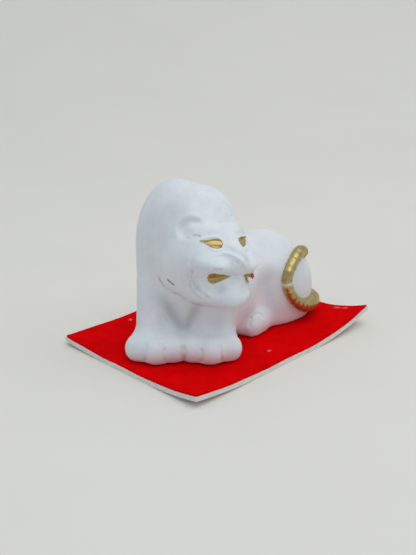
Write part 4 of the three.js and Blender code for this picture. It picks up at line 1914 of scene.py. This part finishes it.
@dataclass(frozen=True)
class DisplayMat:
    """Red felt on white pasteboard, its corners curled up."""

    length: float = 84.0
    width: float = 62.0
    board: float = 1.5
    glue: float = 0.1
    felt: float = 0.6
    curl_start: float = 0.62
    curls: tuple[Curl, ...] = (
        Curl(-1, -1, 2.4),
        Curl(1, -1, 5.5),
        Curl(1, 1, 3.6),
        Curl(-1, 1, 1.2),
    )
    nap: float = 0.05
    felt_ragged: float = 0.4
    board_ragged: float = 0.06
    felt_cell: float = 0.5
    board_cell: float = 1.0
    edge_waves: tuple[Pair, Pair] = ((0.31, 1.3), (0.37, 0.4))
    edge_shares: Triple = (0.5, 0.25, 0.3)
    edge_power: int = 40
    seed: int = 7
    flecks: tuple[Fleck, ...] = (
        Fleck(-16.9, 26.8, (0.5, 0.4), 0.85),
        Fleck(-1.3, -23.6, (0.5, 0.35), 0.8),
        Fleck(39.8, -19.4, (0.5, 1.2), 0.5),
        Fleck(40.0, -22.7, (0.45, 0.9), 0.45),
    )

    def lift(self, points: Points) -> Values:
        """How far the mat is curled up from the table at points."""
        raised = np.zeros(len(points))
        for curl in self.curls:
            near_x = 0.5 + curl.x * points[:, 0] / self.length
            near_y = 0.5 + curl.y * points[:, 1] / self.width
            share = np.maximum(near_x * near_y - self.curl_start, 0.0) / (1.0 - self.curl_start)
            raised += curl.lift * share**2
        return raised

    def layer(
        self, name: str, bottom: float, thickness: float, cell: float, ragged: float, nap: float
    ) -> bpy.types.Object:
        """One layer of the mat.

        Args:
            name: The layer's name.
            bottom: Height of its underside at the middle, in millimetres.
            thickness: Its thickness.
            cell: Size of its faces.
            ragged: How unevenly its edge was cut.
            nap: How far its top is raised here and there.

        Returns:
            The layer.
        """
        shape = bmesh.new()
        columns, rows = round(self.length / cell), round(self.width / cell)
        stretch = Matrix.Diagonal((self.length / 2.0, self.width / 2.0, 1.0, 1.0))
        bmesh.ops.create_grid(shape, x_segments=columns, y_segments=rows, size=1.0, matrix=stretch)
        draws = np.random.default_rng(self.seed)
        points = points_of(shape)
        half = np.array([self.length / 2.0, self.width / 2.0])
        (pitch_x, start_x), (pitch_y, start_y) = self.edge_waves
        wave = np.sin(points[:, :1] * pitch_x + start_x)
        wave = wave + np.sin(points[:, 1:2] * pitch_y + start_y)
        rim = np.clip(np.abs(points[:, :2]) / half, 0.0, 1.0) ** self.edge_power
        even, waved, rough = self.edge_shares
        uneven = even + waved * wave + rough * draws.random((len(points), 1))
        points[:, :2] -= np.sign(points[:, :2]) * rim * ragged * uneven
        raised = nap * (draws.random(len(points)) - 0.5)
        points[:, 2] = bottom + thickness + self.lift(points) + raised
        move_to(shape, points)
        bmesh.ops.solidify(shape, geom=shape.faces[:], thickness=thickness)
        bmesh.ops.recalc_face_normals(shape, faces=shape.faces)
        return piece_from(name, shape, 0.0)

    def build(self, felt: bpy.types.Material, board: bpy.types.Material) -> None:
        """Makes both layers.

        Args:
            felt: The felt's finish.
            board: The board's finish.
        """
        backing = self.layer(
            "mat_backing", 0.0, self.board, self.board_cell, self.board_ragged, nap=0.0
        )
        dress(backing, board, Body.MAT, ["mat_board"])
        bottom = self.board + self.glue
        top = self.layer(
            "mat_cloth", bottom, self.felt, self.felt_cell, self.felt_ragged, nap=self.nap
        )
        points = coordinates(top.data) / MM
        lint = np.zeros(len(points))
        for fleck in self.flecks:
            offset = (points[:, :2] - np.array([fleck.x, fleck.y])) / np.array(fleck.size)
            lint = np.maximum(lint, fleck.strength * np.exp(-(lengths(offset) ** 2)))
        paint(top.data, "lint", lint)
        dress(top, felt, Body.MAT, ["mat_felt"])


@dataclass(frozen=True)
class Studio:
    """The pale sweep, the soft light and the camera of the picture.

    Lengths are in metres. The lamp's place is right, away from the camera and up.
    """

    camera_turn: float = -45.4
    camera_rise: float = 22.2
    camera_distance: float = 0.333
    target: Triple = (-0.0037, 0.0020, 0.0213)
    focal_px: float = 1000.0
    picture: tuple[int, int] = (416, 555)
    sensor_mm: float = 36.0
    sky: str = "#EAF1F9"
    sky_strength: float = 0.73
    sky_above: float = 0.1
    sky_beyond: float = 0.25
    key_watts: float = 2.3
    key_size: float = 0.9
    key_colour: str = "#FFFBF5"
    key_place: Triple = (0.24, -0.10, 0.75)
    sweep_half: float = 1.6
    sweep_front: float = 1.5
    sweep_floor: float = 1.72
    sweep_bend: float = 0.35
    sweep_turn: float = 72.0
    sweep_steps: int = 24
    sweep_top: Pair = (0.195, 0.6)
    near_clip: float = 0.01

    def sight(self) -> Vector:
        """The direction from the target to the camera."""
        turn, rise = math.radians(self.camera_turn), math.radians(self.camera_rise)
        flat = math.cos(rise)
        return Vector((math.sin(turn) * flat, -math.cos(turn) * flat, math.sin(rise)))

    def away(self) -> Vector:
        """The level direction away from the camera."""
        return -Vector((self.sight().x, self.sight().y, 0.0)).normalized()

    def camera(self) -> None:
        """Sets up the camera at the picture's viewing angle."""
        data = bpy.data.cameras.new("camera")
        data.sensor_fit = "VERTICAL"
        data.sensor_height = self.sensor_mm
        data.lens = self.focal_px * self.sensor_mm / self.picture[1]
        data.clip_start = self.near_clip
        camera = bpy.data.objects.new("camera", data)
        camera.location = Vector(self.target) + self.sight() * self.camera_distance
        camera.rotation_euler = self.sight().to_track_quat("Z", "Y").to_euler()
        bpy.context.scene.collection.objects.link(camera)
        bpy.context.scene.camera = camera

    def sweep(self, paper: bpy.types.Material) -> None:
        """Lays the paper sweep: a floor that curves up behind the tiger.

        Args:
            paper: Its finish.
        """
        shape = bmesh.new()
        away = self.away()
        across = Vector((away.y, -away.x, 0.0))
        start = [
            shape.verts.new(across * side * self.sweep_half - away * self.sweep_front)
            for side in (-1, 1)
        ]
        grown = bmesh.ops.extrude_edge_only(shape, edges=[shape.edges.new(start)])["geom"]
        verts = verts_of(grown)
        bmesh.ops.translate(shape, vec=away * self.sweep_floor, verts=verts)
        turned = bmesh.ops.spin(
            shape,
            geom=verts + far_edges(grown),
            cent=verts[0].co.lerp(verts[1].co, 0.5) + Vector((0.0, 0.0, self.sweep_bend)),
            axis=across,
            angle=math.radians(self.sweep_turn),
            steps=self.sweep_steps,
            use_duplicate=False,
        )
        edges = edges_of(turned["geom_last"])
        grown = bmesh.ops.extrude_edge_only(shape, edges=edges)["geom"]
        beyond, up = self.sweep_top
        rise = Vector((0.0, 0.0, up)) + away * beyond
        bmesh.ops.translate(shape, vec=rise, verts=verts_of(grown))
        bmesh.ops.recalc_face_normals(shape, faces=shape.faces)
        for face in shape.faces:
            face.smooth = True
        mesh = bpy.data.meshes.new("paper_sweep")
        shape.to_mesh(mesh)
        shape.free()
        sweep = bpy.data.objects.new("paper_sweep", mesh)
        sweep.data.materials.append(paper)
        bpy.context.scene.collection.objects.link(sweep)

    def lights(self) -> None:
        """Hangs one large soft lamp over the tiger in a pale room, brighter above and beyond it."""
        away = self.away()
        right = Vector((away.y, -away.x, 0.0))
        world = bpy.data.worlds.new("room")
        world.use_nodes = True
        tree = world.node_tree
        back = tree.nodes["Background"]
        back.inputs["Color"].default_value = linear(self.sky)
        bright = Vector((0.0, 0.0, self.sky_above)) + away * self.sky_beyond
        way = node(tree, "ShaderNodeTexCoord", {}).outputs["Generated"]
        rise = node(tree, "ShaderNodeVectorMath", {0: way, 1: bright}, operation="DOT_PRODUCT")
        level = rise.outputs["Value"]
        strength = node(tree, "ShaderNodeMath", {0: level, 1: self.sky_strength}, operation="ADD")
        tree.links.new(strength.outputs[0], back.inputs["Strength"])
        bpy.context.scene.world = world
        data = bpy.data.lights.new("key", "AREA")
        data.shape = "DISK"
        data.size = self.key_size
        data.energy = self.key_watts
        data.color = linear(self.key_colour)[:3]
        lamp = bpy.data.objects.new("key", data)
        aside, beyond, up = self.key_place
        lamp.location = right * aside + away * beyond + Vector((0.0, 0.0, up))
        lit_from = lamp.location - Vector(self.target)
        lamp.rotation_euler = lit_from.to_track_quat("Z", "Y").to_euler()
        bpy.context.scene.collection.objects.link(lamp)

    def build(self, paper: bpy.types.Material) -> None:
        """Sets up the whole studio.

        Args:
            paper: The sweep's finish.
        """
        bpy.context.scene.view_settings.view_transform = "Standard"
        self.camera()
        self.sweep(paper)
        self.lights()


def main() -> None:
    """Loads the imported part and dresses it, piece by piece."""
    logging.basicConfig(level=logging.INFO, format="%(name)s: %(message)s")
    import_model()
    Studio().build(StudioPaper().build())
    DisplayMat().build(PressedFelt().build(), Pasteboard().build())
    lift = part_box("body_casting")[0].z
    detail = ClayDetail(TigerClay())
    voxel = 0.33
    Castings(detail, lift, voxel).build(MatteSlip().build())
    Gilding(detail, lift).build(GoldLustre().build(), RedPaint().build())


if __name__ == "__main__":
    main()
